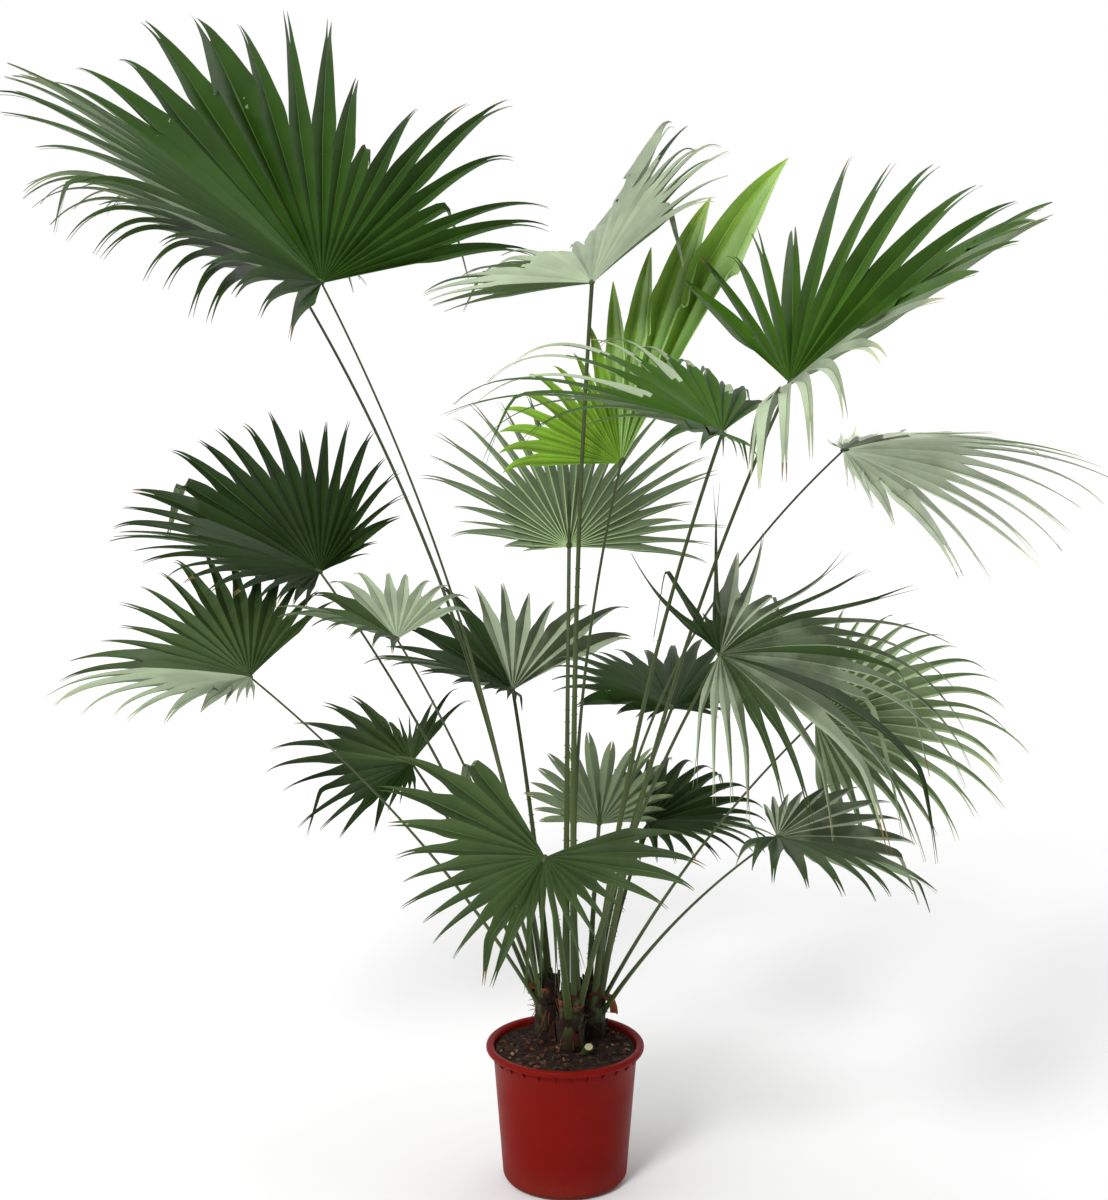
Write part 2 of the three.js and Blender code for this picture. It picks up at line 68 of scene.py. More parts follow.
# What a frond has where its own row says nothing else. Lengths are in metres and angles in degrees.
COMMON = dict(
    roll=0,  # of the blade about its middle line
    turn=0,  # from the middle line to the middle of the spread
    leaflets=24,
    spread=250,  # from the first leaflet to the last
    fused=0.54,  # the share of a leaflet that is joined to the next ones
    side=0.72,  # the outermost leaflets' length over the middle one's
    shape=1.6,  # how late leaflets get shorter towards the sides
    fold=18,  # how far both halves are folded up
    arch=0.2,  # how far all of a leaflet bends
    droop=0.7,  # how far its free part bends
    limp=0.8,  # how much more the outermost ones droop
    bow=0.08,  # how far the stalk bends up, over its length
    foot_width=0.015,  # of the stalk
    pleat=0.42,  # depth of a pleat over a leaflet's width
    # A frond's tints also carry how light falls on it: painted shade, painted light and painted sheen, on the whole
    # blade and on parts of it.
    tint="mid",
    hang=0.5,  # how far thin tips hang down at most
    stray=1,  # how much leaflets differ
    bent=0.06,  # the share of leaflets that are bent over
    kink=2.2,  # how sharply they are
    folds=1,  # creases of a leaflet
    point=1.5,  # how late a leaflet narrows to its tip
    slim=0.76,  # its width before that, over its joined part's
    reach=1,  # a factor for the length, or pairs of an angle from the middle line and the factor there
    join=1,  # the same for the joined share
    fall=1,  # the same for the droop
    others=(),  # further tints, each with its angles from and to, and the share of a leaflet at which it starts
)
FRONDS = {}


def plan(name, **row):
    """Adds a frond: its stem, the heading and height of its stalk's foot, its hub, and how its blade lies."""
    FRONDS[name] = Row(name=name, number=len(FRONDS) + 1, **{**COMMON, **row})


plan("top_left", stem="left", foot=(190, 0.316), hub=(-0.397, 0.060, 1.525), heading=155, rise=38, roll=12,
     radius=0.620, leaflets=34, spread=230, fold=25, side=0.68, arch=0.05, droop=0.3, limp=0.6, bow=0.09,
     tint="lush", point=1.4, slim=0.86,
     reach=((-90, 1), (-75, 1.2), (-55, 1.25), (-44, 1.05), (0, 1.03), (18, 1.10), (42, 1.12), (49, 1.02),
            (53, 0.62), (60, 0.68), (67, 1.04), (79, 1.12), (87, 0.92), (94, 0.9), (101, 1.06), (115, 0.9)),
     join=((-45, 1), (-20, 1.2), (20, 1.22), (35, 1), (50, 1), (53, 1.4), (60, 1.3), (67, 0.95), (115, 0.9)))
plan("top_left_rear", stem="left", foot=(110, 0.312), hub=(-0.480, 0.330, 1.530), heading=150, rise=28,
     radius=0.560, leaflets=30, spread=220, fold=15, droop=0.8, bow=0.12, stray=1.6, bent=0.1, point=1.3,
     slim=0.7, reach=((-110, 1.35), (-96, 1.1), (-80, 1), (50, 1), (69, 0.7), (87, 0.45), (110, 0.4)),
     others=(("pale", 30, 110, 0.55),))
plan("top_middle", stem="front", foot=(300, 0.316), hub=(0.040, -0.100, 1.530), heading=92, rise=20, roll=25,
     radius=0.345, leaflets=26, spread=210, fold=25, droop=0.5, tint="pale", stray=1.6,
     others=(("mid", -60, -38, 0.5), ("mid", -105, -85, 0), ("deep", 33, 42, 0.6)),
     reach=((-105, 1.02), (-70, 1.02), (-57, 0.88), (-46, 0.76), (-31, 0.85), (5, 1), (13, 1.3), (20, 1.75),
            (28, 1.5), (40, 1.15), (60, 1.05)),
     fall=((-105, 0.1), (-85, 0.25), (-70, 0.7), (0, 1), (14, 0.1), (28, 0.15), (45, 0.6), (100, 0.6)))
plan("young_leaf", stem="front", foot=(30, 0.320), hub=(0.089, -0.020, 1.239), heading=16, rise=58, roll=-50,
     radius=0.620, leaflets=13, spread=119, turn=-60.5, fused=0.56, side=0.34, shape=0.4, fold=10, arch=0.1,
     droop=0.3, limp=2, tint="young", point=2.2, slim=0.78, folds=2, pleat=0.8, hang=0.2, stray=0.4, bent=0,
     others=(("tender", -40, 0, 0),), fall=((-60, 1), (-30, 0.6), (-8, 1.2)),
     reach=((-120, 1.05), (-104, 1), (-85, 0.85), (-60, 0.7), (-44, 0.7), (-34, 0.85), (-26, 0.98),
            (-16, 1.06), (-7, 1.24)), join=((-120, 1.1), (-30, 0.95), (0, 0.95)))
plan("top_right", stem="right", foot=(330, 0.314), hub=(0.332, -0.270, 1.389), heading=20, rise=34, roll=-5,
     radius=0.525, leaflets=28, spread=226, turn=27, fold=23, side=0.6, arch=0.05, droop=0.25, limp=6,
     tint="bright", point=2.2, slim=0.92, others=(("pale", 76, 140, 0),),
     reach=((-86, 0.7), (-74, 1), (-66, 0.9), (-52, 0.85), (-42, 1.12), (-25, 1.2), (-10, 1.03), (20, 0.93),
            (40, 0.93), (58, 0.97), (66, 1.12), (76, 1.15), (96, 1.04), (112, 1.16), (120, 1), (128, 0.8),
            (140, 0.6)),
     join=((-86, 0.6), (-66, 0.5), (-33, 0.56), (-17, 0.75), (-5, 1), (15, 1.15), (28, 1.4), (52, 1.5),
           (62, 1.15), (80, 0.8), (140, 0.8)),
     fall=((-86, 0.1), (-20, 1), (70, 0.4), (79, 0.2), (88, 0.6), (100, 1.6), (140, 2.4)))
plan("far_right", stem="right", foot=(20, 0.306), hub=(0.461, 0.080, 1.249), heading=0, rise=5, roll=-16,
     radius=0.470, spread=190, fold=-10, arch=0.35, droop=0.6, bow=0.22, slim=0.66, tint="dusty", point=1.3,
     stray=2, others=(("silver", -34, 95, 0), ("silver", -95, -35, 0.3)),
     reach=((-95, 0.5), (-60, 0.85), (-40, 1.1), (0, 1), (58, 0.95), (68, 0.5), (80, 0.3), (95, 0.25)),
     join=((-95, 0.9), (-50, 0.9), (-40, 0.7), (95, 0.8)),
     fall=((-95, -0.8), (-60, -0.5), (-30, 0), (0, 0.5), (95, 1)))
plan("inner_right", stem="right", foot=(280, 0.312), hub=(0.234, -0.250, 1.313), heading=190, rise=20, roll=15,
     radius=0.395, spread=240, fold=15, side=0.8, droop=0.9, tint="bright", stray=1.8, bent=0.12, slim=0.5,
     others=(("pale", 12, 100, 0.6),),
     reach=((-120, 0.35), (-70, 0.4), (-52, 0.85), (-35, 1.25), (5, 1.15), (35, 1.1), (60, 0.9), (120, 0.8)),
     fall=((-120, 1), (-50, 0.4), (-15, 0.7), (20, 1), (60, 1.2), (120, 0.8)),
     join=((-60, 0.9), (-30, 0.62), (30, 0.62), (60, 0.9)))
plan("front_fan", stem="front", foot=(240, 0.312), hub=(0.007, 0.180, 1.071), heading=270, rise=65,
     radius=0.325, leaflets=26, spread=198, fold=10, droop=0.3, side=0.85, tint="striped", bent=0, pleat=0.55,
     fall=0.25, join=0.84,
     reach=((-99, 0.9), (-80, 1.05), (-72, 0.72), (-66, 0.8), (-57, 1.05), (-30, 1.07), (35, 1.07), (58, 1.03),
            (66, 0.75), (80, 0.75), (88, 0.4), (99, 0.3)))
plan("left_upper", stem="left", foot=(150, 0.294), hub=(-0.419, 0.150, 1.032), heading=170, rise=22, roll=24,
     radius=0.385, leaflets=32, spread=225, turn=12, fold=24, droop=0.4, tint="deep", point=1.7,
     fall=((-100, 1), (-10, 0.5), (124, 0.35)),
     reach=((-100, 0.5), (-60, 0.85), (-20, 1), (0, 1), (14, 1.12), (25, 1.02), (77, 1.04), (94, 0.87),
            (103, 0.78), (112, 0.45), (124, 0.35)),
     join=((-100, 1), (0, 1.1), (16, 1.22), (45, 1.03), (60, 0.9), (90, 0.72), (124, 0.7)))
plan("left_outer", stem="left", foot=(205, 0.286), hub=(-0.513, -0.060, 0.895), heading=180, rise=10, roll=22,
     radius=0.330, leaflets=27, spread=225, turn=6, fold=20, droop=0.5, others=(("pale", -120, -4, 0),),
     fall=((-110, 1), (0, 1), (12, 0.4), (118, 0.4)),
     reach=((-106, 0.3), (-75, 0.45), (-55, 0.9), (-20, 1.06), (3, 1), (10, 0.84), (45, 0.92), (60, 1.08),
            (118, 1)))
plan("left_folded", stem="left", foot=(230, 0.300), hub=(-0.274, -0.050, 0.956), heading=155, rise=16, roll=6,
     radius=0.225, leaflets=20, spread=230, fold=28, droop=0.5, stray=1.5, others=(("pale", 25, 120, 0),))
plan("rear_middle", stem="left", foot=(80, 0.306), hub=(-0.094, 0.340, 0.782), heading=165, rise=20, roll=15,
     radius=0.290, leaflets=22, spread=245, fold=30, droop=0.5, tint="deep", others=(("dusty", 45, 123, 0),),
     fall=0.5,
     reach=((-123, 0.4), (-70, 0.5), (-45, 0.95), (0, 1), (61, 1.08), (84, 0.95), (95, 1.2), (110, 1.5),
            (123, 1.3)))
plan("left_lower", stem="left", foot=(165, 0.274), hub=(-0.270, 0.200, 0.682), heading=138, rise=20, roll=50,
     radius=0.275, leaflets=22, turn=-25, fold=15, side=0.65, droop=0.4, others=(("deep", -150, -35, 0),),
     slim=0.6, stray=1.6, fall=0.7, join=0.9,
     reach=((-150, 0.4), (-115, 0.45), (-99, 0.66), (-85, 0.88), (-50, 1.03), (-20, 1.15), (-8, 1.15),
            (3, 0.98), (15, 0.78), (27, 0.4), (60, 0.35), (85, 0.75), (100, 0.75)))
plan("front_low", stem="front", foot=(262, 0.284), hub=(-0.033, -0.250, 0.649), heading=252, rise=-47,
     radius=0.275, leaflets=23, spread=258, turn=12, fold=6, side=0.95, droop=0.2, bent=0.1, stray=1.4,
     slim=0.68,
     reach=((-117, 0.9), (-97, 1), (-83, 0.9), (-69, 0.68), (-40, 0.72), (-25, 0.85), (50, 0.87), (95, 0.98),
            (107, 1.25), (121, 1.38), (141, 1.33)),
     join=((-117, 1.1), (-60, 0.9), (-30, 0.5), (0, 0.4), (15, 0.7), (30, 0.95), (100, 1.08), (141, 0.9)))
plan("right_rear", stem="right", foot=(75, 0.306), hub=(0.188, 0.200, 0.781), heading=105, rise=20,
     radius=0.300, leaflets=22, fold=15, droop=0.6, tint="deep", fall=0.6,
     reach=((-125, 0.35), (-97, 0.45), (-80, 0.9), (60, 1), (90, 0.6), (125, 0.35)))
plan("right_front", stem="front", foot=(340, 0.299), hub=(0.236, -0.240, 0.969), heading=348, rise=0, roll=-25,
     radius=0.450, leaflets=27, spread=230, turn=-15, fold=5, fused=0.38, side=0.6, arch=0.6, droop=1.2,
     tint="dusty", stray=3, bent=0.3, point=1.3, slim=0.6,
     others=(("deep", -130, -97, 0), ("mid", -62, -46, 0), ("mid", -20, -13, 0), ("deep", 12, 20, 0),
             ("mid", 50, 62, 0)),
     reach=((-130, 1), (-118, 1.4), (-100, 1.5), (-92, 1.15), (-83, 1), (-49, 0.95), (-40, 1.05), (0, 1.1),
            (20, 1.2), (30, 1.15), (60, 0.9), (100, 0.75)), join=((-130, 0.5), (-97, 0.5), (-90, 1)),
     fall=((-130, -0.6), (-100, -0.5), (-83, -0.4), (-49, -0.35), (-35, 0.5), (-20, 0.9), (100, 1)))
plan("right_outer", stem="right", foot=(0, 0.292), hub=(0.422, 0.060, 0.794), heading=10, rise=20, roll=-35,
     radius=0.380, leaflets=27, spread=210, turn=8, fold=8, droop=0.9, tint="striped", stray=2, bent=0.14,
     slim=0.64, fall=((-97, 0.4), (-20, 0.5), (20, 1)),
     reach=((-97, 0.6), (-60, 0.75), (-30, 0.85), (0, 0.97), (60, 1.06), (113, 0.9)))
plan("right_low_rear", stem="right", foot=(50, 0.284), hub=(0.149, 0.220, 0.568), heading=10, rise=5, roll=-15,
     radius=0.250, leaflets=22, spread=225, fold=20, droop=0.6, tint="deep")
plan("right_lowest", stem="right", foot=(345, 0.269), hub=(0.335, -0.190, 0.664), heading=350, rise=-5,
     roll=-12, radius=0.300, leaflets=20, spread=235, fold=22, side=0.55, droop=0.6,
     others=(("dusty", -118, 12, 0),), stray=1.4,
     reach=((-118, 0.5), (-70, 0.6), (-55, 0.8), (-18, 0.83), (-6, 1), (40, 1), (60, 1.1), (112, 0.9)),
     fall=((-118, 0.3), (-15, 0.3), (0, 1)))
plan("rear_low", stem="right", foot=(110, 0.290), hub=(0.061, 0.200, 0.570), heading=270, rise=70,
     radius=0.200, leaflets=16, spread=180, fold=10, droop=1.2, tint="dusty", point=4, slim=0.95, hang=0,
     fall=0.12, reach=((-90, 0.75), (-60, 0.9), (0, 1.05), (60, 0.9), (90, 0.75)))

# lift and drop, shares of the length, say how far a sheath rises before it hangs, and flare how far it stands out.
SHEATHS = {
    "left": Row(stem="left", heading=190, height=0.306, length=0.046, lift=0.5, drop=0.3, flare=1.1),
    "left_front": Row(stem="left", heading=262, height=0.300, length=0.034, lift=0.6, drop=-0.1, flare=0.5),
    "front": Row(stem="front", heading=235, height=0.298, length=0.036, lift=0.6, drop=-0.1, flare=0.6),
    "front_right": Row(stem="front", heading=312, height=0.294, length=0.034, lift=0.5, drop=0, flare=0.6),
    "right": Row(stem="right", heading=342, height=0.306, length=0.046, lift=0.25, drop=0.85, flare=1.6),
    "rear": Row(stem="right", heading=95, height=0.294, length=0.044, lift=0.5, drop=0.3, flare=1),
}

CLEARANCE = 0.0003  # between the soil and what stands on it, and between the pot and the floor
GOLDEN_ANGLE = 137.5  # degrees from each old leaf base to the next
POT_SIDES, SOIL_SIDES, CHIP_SIDES, TRUNK_SIDES, TRUNK_ROWS, STUMP_SIDES = 128, 120, 7, 56, 44, 28
SOIL_SEED, TRUNK_SEED, FIBRE_SEED, STUMP_SEED, FROND_SEED, SHEATH_SEED = 5, 40, 61, 9, 17, 80

CLASP_ROWS, ARCH_ROWS, COSTA_ROWS, STALK_SIDES = 9, 40, 12, 12
THORNS_START, THORNS_END = 0.16, 0.6  # parts of a stalk's length
COSTA_START = 0.012  # how far from the hub the rib under a blade starts

WALK_STEPS = 48  # steps from the hub to a leaflet's tip
FOLD_SPAN = 25  # degrees from the middle line at which a blade's fold is complete
HUB_HOLE = 0.012  # about the share of the joined part that is left open round the hub
HUB_PLEAT, SPLIT_PLEAT, TIP_PLEAT = 1.1, 0.8, 0.45  # depth of the pleats at the hub, at the split and at tips
REACHES = (1, 0.85, 0.7, 0.55, 0.4, 0.25, 0.1)  # a leaflet is cut back to the first of these that is clear
PROBES = 7  # places along a leaflet at which that is tested
HANG_START = 0.6  # the share of a leaflet's free part from which its tip hangs down
KINK_LENGTH = 0.14  # the share of it over which a bent leaflet turns over
EASE_LENGTH = 0.2  # the share over which it leaves the shape of the joined part
SLIM_LENGTH = 0.3  # the share over which it gets slim
FORK_FIRST, FORK_LAST = 0.68, 0.9  # the shares between which tips fork
TIP_WIDTH = 0.03  # width of a tip, over the leaflet's width where it becomes free
THINNEST = 0.45  # thickness of a tip, over the blade's
DRY_TIPS = 0.2  # the share of leaflets with withered tips
# Cross-sections of a leaflet with one crease and with two: places from its left seam to its right, and heights.
CREASES = {
    1: ((-1, 1), (-0.5, 0.1), (-0.05, -1), (0.05, -1), (0.5, 0.1), (1, 1)),
    2: ((-1, 1), (-0.75, 0.1), (-0.53, -1), (-0.47, -1), (-0.25, 0.1), (0, 1), (0.25, 0.1), (0.47, -1), (0.53, -1),
        (0.75, 0.1), (1, 1)),
}
RIB_SPAN = 0.12  # a strip of a leaflet that is narrower than this is a rib
RIB_HEIGHT = 2.2  # how far a rib stands out below, over the blade's own thickness


# ---------- settings ----------

def length(name, description, default):
    return FloatProperty(name=name, description=description, default=default, min=0, precision=4, unit="LENGTH")


def share(name, description, default):
    return FloatProperty(name=name, description=description, default=default, min=0, max=10)


def colour(name, description, default):
    return FloatVectorProperty(name=name, description=description, default=default, min=0, max=1, size=3,
                               subtype="COLOR")


def count(name, description, default):
    return IntProperty(name=name, description=description, default=default, min=1)


def degrees(name, description, default):
    return FloatProperty(name=name, description=description, default=math.radians(default), subtype="ANGLE")


class PalmPotSettings(bpy.types.PropertyGroup):
    height: length("Height", "Height of the pot over its lip", 0.243)
    rim_radius: length("Rim radius", "Outer radius of the lip", 0.135)
    lip_height: length("Lip height", "Height of the rolled lip", 0.011)
    top_radius: length("Top radius", "Outer radius of the wall under the lip", 0.123)
    bottom_radius: length("Bottom radius", "Outer radius of the wall above the rounded foot", 0.107)
    foot_radius: length("Foot radius", "Radius of the flat underside", 0.090)
    foot_rise: length("Foot rise", "Height of the rounded foot", 0.015)
    wall: length("Wall", "Thickness of the wall", 0.0026)
    floor: length("Floor", "Thickness of the floor", 0.004)
    ribs: count("Ribs", "Small stiffening ribs under the lip", 28)
    plastic: colour("Plastic", "Colour of the plastic", (0.175, 0.0055, 0.0030))


class PalmSoilSettings(bpy.types.PropertyGroup):
    level: length("Level", "Height of the soil in the middle", 0.229)
    edge_level: length("Edge level", "Height of the soil at the wall", 0.233)
    flat_radius: length("Flat radius", "Radius of the level middle", 0.098)
    roughness: length("Roughness", "Height of the lumps", 0.0035)
    chips: count("Chips", "Bits of bark on the soil", 330)
    fibres: count("Fibres", "Strands of fibre on the soil", 160)
    peat: colour("Peat", "Colour of the soil", (0.017, 0.0095, 0.006))
    bark: colour("Bark", "Colour of the bits of bark", (0.042, 0.021, 0.012))


class PalmStemSettings(bpy.types.PropertyGroup):
    relief: length("Relief", "Depth of the ridges and scars", 0.0014)
    sheath_width: length("Sheath width", "Width of a papery sheath", 0.028)
    sheath_flare: length("Sheath flare", "How far a sheath stands out", 0.017)
    strands: count("Strands", "Loose fibres round the crowns", 150)
    boots: count("Boots", "Old leaf bases on each stem", 20)
    boot_width: length("Boot width", "Width of an old leaf base", 0.026)
    # The fibre and boot colours are the stems' own dark brown, made darker still as painted shade under the crown.
    fibre: colour("Fibre", "Colour of the fibrous stem", (0.014, 0.008, 0.006))
    boot: colour("Boot", "Colour of the old leaf bases", (0.022, 0.011, 0.007))
    paper: colour("Paper", "Colour of the papery sheaths", (0.165, 0.046, 0.015))
    pith: colour("Pith", "Colour of the cut face of the stump", (0.72, 0.70, 0.42))


class PalmStalkSettings(bpy.types.PropertyGroup):
    tip_width: length("Tip width", "Width where the blade starts", 0.0065)
    flatness: share("Flatness", "Depth over width", 0.75)
    taper: share("Taper", "How soon the broad foot narrows", 2.2)
    costa: share("Costa", "How far the stalk runs on under the blade, over the blade's length", 0.36)
    thorn: length("Thorn", "Length of the thorns on the lower edges", 0.0032)
    green: colour("Green", "Colour of the stalk", (0.038, 0.056, 0.014))
    # The stalk's own brown at the foot, made darker still as painted shade under the crown.
    brown: colour("Brown", "Colour of the stalk's foot", (0.020, 0.012, 0.007))


class PalmLeafSettings(bpy.types.PropertyGroup):
    thickness: length("Thickness", "Thickness of the blade", 0.0008)
    unevenness: share("Unevenness", "How much the leaflets' lengths differ", 0.12)
    swing: degrees("Swing", "How far leaflets stray to the side", 2.2)
    twist: degrees("Twist", "How far leaflets twist towards their tips", 24)
    joined_rows: count("Joined rows", "Rows of faces along the joined part", 11)
    free_rows: count("Free rows", "Rows of faces along the free part", 16)
    deep: colour("Deep", "Upper side of an old leaf in the shade", (0.012, 0.030, 0.004))
    bright: colour("Bright", "Upper side of a leaf turned to the light", (0.030, 0.082, 0.004))
    lush: colour("Lush", "Upper side of a leaf in full light", (0.0175, 0.051, 0.003))
    mid: colour("Mid", "Upper side of a common leaf", (0.037, 0.066, 0.018))
    # Paler than the leaf's own green, as painted sheen.
    dusty: colour("Dusty", "Upper side of a dull old leaf", (0.160, 0.215, 0.110))
    # Paler still, as painted sheen.
    pale: colour("Pale", "Upper side of a leaf with a silvery bloom", (0.280, 0.340, 0.225))
    # The palest, as the strongest painted sheen.
    silver: colour("Silver", "Upper side of the leaf with the thickest bloom", (0.66, 0.74, 0.56))
    # Paler than the leaf's own green, as painted sheen.
    striped: colour("Striped", "Upper side of a leaf with a faint bloom", (0.330, 0.480, 0.200))
    young: colour("Young", "Upper side of the youngest leaf", (0.170, 0.310, 0.030))
    below: colour("Below", "Underside of an old leaf", (0.150, 0.205, 0.110))
    # The youngest leaf's own yellow green, made lighter as painted light.
    tender: colour("Tender", "The part of the youngest leaf that opened last", (0.29, 0.53, 0.07))
    young_below: colour("Young below", "Underside of the youngest leaf", (0.240, 0.420, 0.070))
    rib: colour("Rib", "Middle rib of a leaflet", (0.150, 0.235, 0.022))
    dry: colour("Dry", "Withered tips", (0.180, 0.120, 0.042))


class PalmStageSettings(bpy.types.PropertyGroup):
    camera_place: FloatVectorProperty(name="Camera", description="Where the camera stands",
                                      default=(-0.019, -3.45, 1.644), size=3, subtype="XYZ", unit="LENGTH")
    camera_pitch: degrees("Pitch", "How far the camera looks down", 10.4)
    lens: FloatProperty(name="Lens", description="Focal length in millimetres", default=64.0, min=1)
    floor_size: length("Floor size", "Width of the floor", 60)
    floor_paint: colour("Floor paint", "Colour of the floor", (0.86, 0.86, 0.86))
    sky: share("Sky", "Strength of the light from behind and above", 1.0)
    shade: share("Shade", "Strength of the light from the darker side of the room", 0.3)
    glow: share("Glow", "How much the far floor is lit up to meet the background", 0.36)


SETTINGS = {
    "palm_pot": PalmPotSettings,
    "palm_soil": PalmSoilSettings,
    "palm_stem": PalmStemSettings,
    "palm_stalk": PalmStalkSettings,
    "palm_leaf": PalmLeafSettings,
    "palm_stage": PalmStageSettings,
}


# ---------- finishes ----------

class Wire:
    """A node's output: arithmetic on it adds Math nodes."""

    def __init__(self, finish, socket):
        self.finish, self.socket = finish, socket

    def math(self, operation, *values):
        return self.finish.node("ShaderNodeMath", {"operation": operation}, dict(enumerate(values)))

    def __add__(self, other):
        return self.math("ADD", self, other)

    def __sub__(self, other):
        return self.math("SUBTRACT", self, other)

    def __rsub__(self, other):
        return self.math("SUBTRACT", other, self)

    def __mul__(self, other):
        return self.math("MULTIPLY", self, other)

    __radd__, __rmul__ = __add__, __mul__

    def wave(self):
        return self.math("SINE", self)

    def whole(self):
        return self.math("FLOOR", self)

    def between(self, low, high):
        """0 below low, 1 above high, and smooth from one to the other."""
        return self.finish.node("ShaderNodeMapRange", {"interpolation_type": "SMOOTHSTEP"},
                                {"Value": self, "From Min": low, "From Max": high})


class Finish:
    """A material or world under construction, on its one shader."""

    def __init__(self, name, kind="materials", shader="Principled BSDF", **constants):
        self.material = getattr(bpy.data, kind).new(name)
        self.material.use_nodes = True
        self.tree = self.material.node_tree
        self.shader = self.tree.nodes[shader]
        for socket, value in constants.items():
            self.feed(self.shader.inputs[socket.replace("_", " ")], value)

    def feed(self, socket, value):
        if isinstance(value, Wire):
            self.tree.links.new(value.socket, socket)
        elif hasattr(value, "__len__") and socket.type == "RGBA":
            socket.default_value = (*value, 1)
        else:
            socket.default_value = value

    def node(self, kind, settings=None, sockets=None, output=0):
        node = self.tree.nodes.new(kind)
        for key, value in (settings or {}).items():
            setattr(node, key, value)
        for key, value in (sockets or {}).items():
            self.feed(node.inputs[key], value)
        return Wire(self, node.outputs[output])

    def place(self):
        return self.node("ShaderNodeTexCoord", output="Object")

    def map(self, name):
        return self.node("ShaderNodeUVMap", {"uv_map": name})

    def axis(self, vector, letter):
        return self.node("ShaderNodeSeparateXYZ", sockets={0: vector}, output=letter)

    def stretched(self, vector, by):
        return self.node("ShaderNodeVectorMath", {"operation": "MULTIPLY"}, {0: vector, 1: by})

    def noise(self, vector, scale, detail=3, output="Fac"):
        return self.node("ShaderNodeTexNoise", sockets={"Vector": vector, "Scale": scale, "Detail": detail},
                         output=output)

    def mix(self, factor, first, second):
        return self.node("ShaderNodeMix", {"data_type": "RGBA", "clamp_factor": True},
                         {0: factor, 6: first, 7: second}, output=2)

    def toned(self, factor, tone, dark, light):
        """From a darker to a lighter version of a tone."""
        return self.mix(factor, shaded(tone, dark), shaded(tone, light))

    def wear(self, base, roughness, height=None, depth=0.001, strength=1.0):
        """Sets what changes over the surface, and gives the finished material."""
        self.feed(self.shader.inputs["Base Color"], base)
        self.feed(self.shader.inputs["Roughness"], roughness)
        if height is not None:
            bump = self.node("ShaderNodeBump", sockets={"Height": height, "Distance": depth, "Strength": strength})
            self.feed(self.shader.inputs["Normal"], bump)
        return self.material


def shaded(tone, by):
    """A colour made darker or lighter."""
    return tuple(min(1, channel * by) for channel in tone)


YELLOWING = (1.9, 1.35, 0.9)  # what old leaf tips do to a tone


def leaf_finish(name, tone, gloss, pleats=0.45, light=None, dark=0.68):
    """One side of a blade: parallel veins, a tint for each leaflet, painted light and shade on its two halves, and
    paler and darker clouds.
    """
    finish = Finish(name, Roughness=gloss, Specular_IOR_Level=0.16)
    vein = finish.map("Vein")
    across = finish.axis(vein, "X")
    along = finish.axis(vein, "Y")
    leaflet = finish.node("ShaderNodeTexWhiteNoise", {"noise_dimensions": "1D"}, {"W": across.whole()})
    clouds = finish.noise(finish.place(), 11, 4)
    streaks = finish.noise(finish.stretched(vein, (42, 9, 1)), 1, 2)
    # One half of each leaflet is painted lighter and the other darker: painted light and shade across each pleat.
    half = (across - across.whole()).between(0.44, 0.56)
    tint = clouds.between(0.35, 0.65) * 0.4 + leaflet * 0.35 + streaks * 0.3 + (half - 0.5) * pleats
    base = finish.mix(tint, shaded(tone, dark), shaded(tone, 1.32) if light is None else light)
    yellowed = tuple(np.multiply(tone, YELLOWING))
    old = (along + clouds * 0.5).between(1.05, 1.4)
    base = finish.mix(old * 0.6, base, yellowed)
    veins = (across * 150).wave() * 0.5 + streaks
    return finish.wear(base, clouds * 0.16 + (gloss - 0.08), veins, 0.0003, 0.35)


def rib_finish(name, tone):
    finish = Finish(name, Specular_IOR_Level=0.45)
    along = finish.axis(finish.map("Vein"), "Y")
    towards_tip = (along + finish.noise(finish.place(), 30) * 0.3).between(0.3, 1.25)
    return finish.wear(finish.toned(towards_tip, tone, 1, 0.55), finish.noise(finish.place(), 60) * 0.2 + 0.4)


def dry_finish(name, tone):
    finish = Finish(name, Specular_IOR_Level=0.3)
    clouds = finish.noise(finish.place(), 45)
    return finish.wear(finish.toned(clouds, tone, 0.5, 1.3), clouds * 0.2 + 0.6, clouds, 0.0004)


def stalk_finish(name, green, brown):
    """Smooth and green, brown and dull towards the foot, with fine lines along it."""
    finish = Finish(name, Specular_IOR_Level=0.25)
    run = finish.map("Run")
    along = finish.axis(run, "Y")
    clouds = finish.noise(finish.place(), 26, 4)
    lines = finish.noise(finish.stretched(run, (26, 3, 1)), 1, 3)
    alive = (along + clouds * 0.14).between(0.05, 0.17)
    green_tone = finish.toned(clouds * 0.6 + lines * 0.4, green, 0.55, 1.55)
    green_tone = finish.mix(along.between(0.25, 0.7), shaded(green, 1.5), green_tone)
    base = finish.mix(alive, finish.toned(lines, brown, 0.45, 1.9), green_tone)
    return finish.wear(base, 0.72 - alive * 0.3 + lines * 0.08, lines, 0.0006, 0.5)


def fibre_finish(name, tone):
    finish = Finish(name, Specular_IOR_Level=0.25)
    place = finish.place()
    strands = finish.noise(finish.stretched(place, (420, 420, 34)), 1, 3)
    patches = finish.noise(place, 60, 3)
    base = finish.toned(strands * 0.7 + patches * 0.45, tone, 0.3, 2.3)
    return finish.wear(base, 0.95 - patches * 0.15, strands, 0.0012, 0.8)


def paper_finish(name, tone):
    finish = Finish(name, Specular_IOR_Level=0.3)
    weave = finish.noise(finish.stretched(finish.map("Run"), (38, 5, 1)), 1, 3)
    patches = finish.noise(finish.place(), 75, 3)
    base = finish.toned(weave * 0.6 + patches * 0.5, tone, 0.35, 2.1)
    return finish.wear(base, 0.9 - weave * 0.25, weave, 0.0008, 0.8)


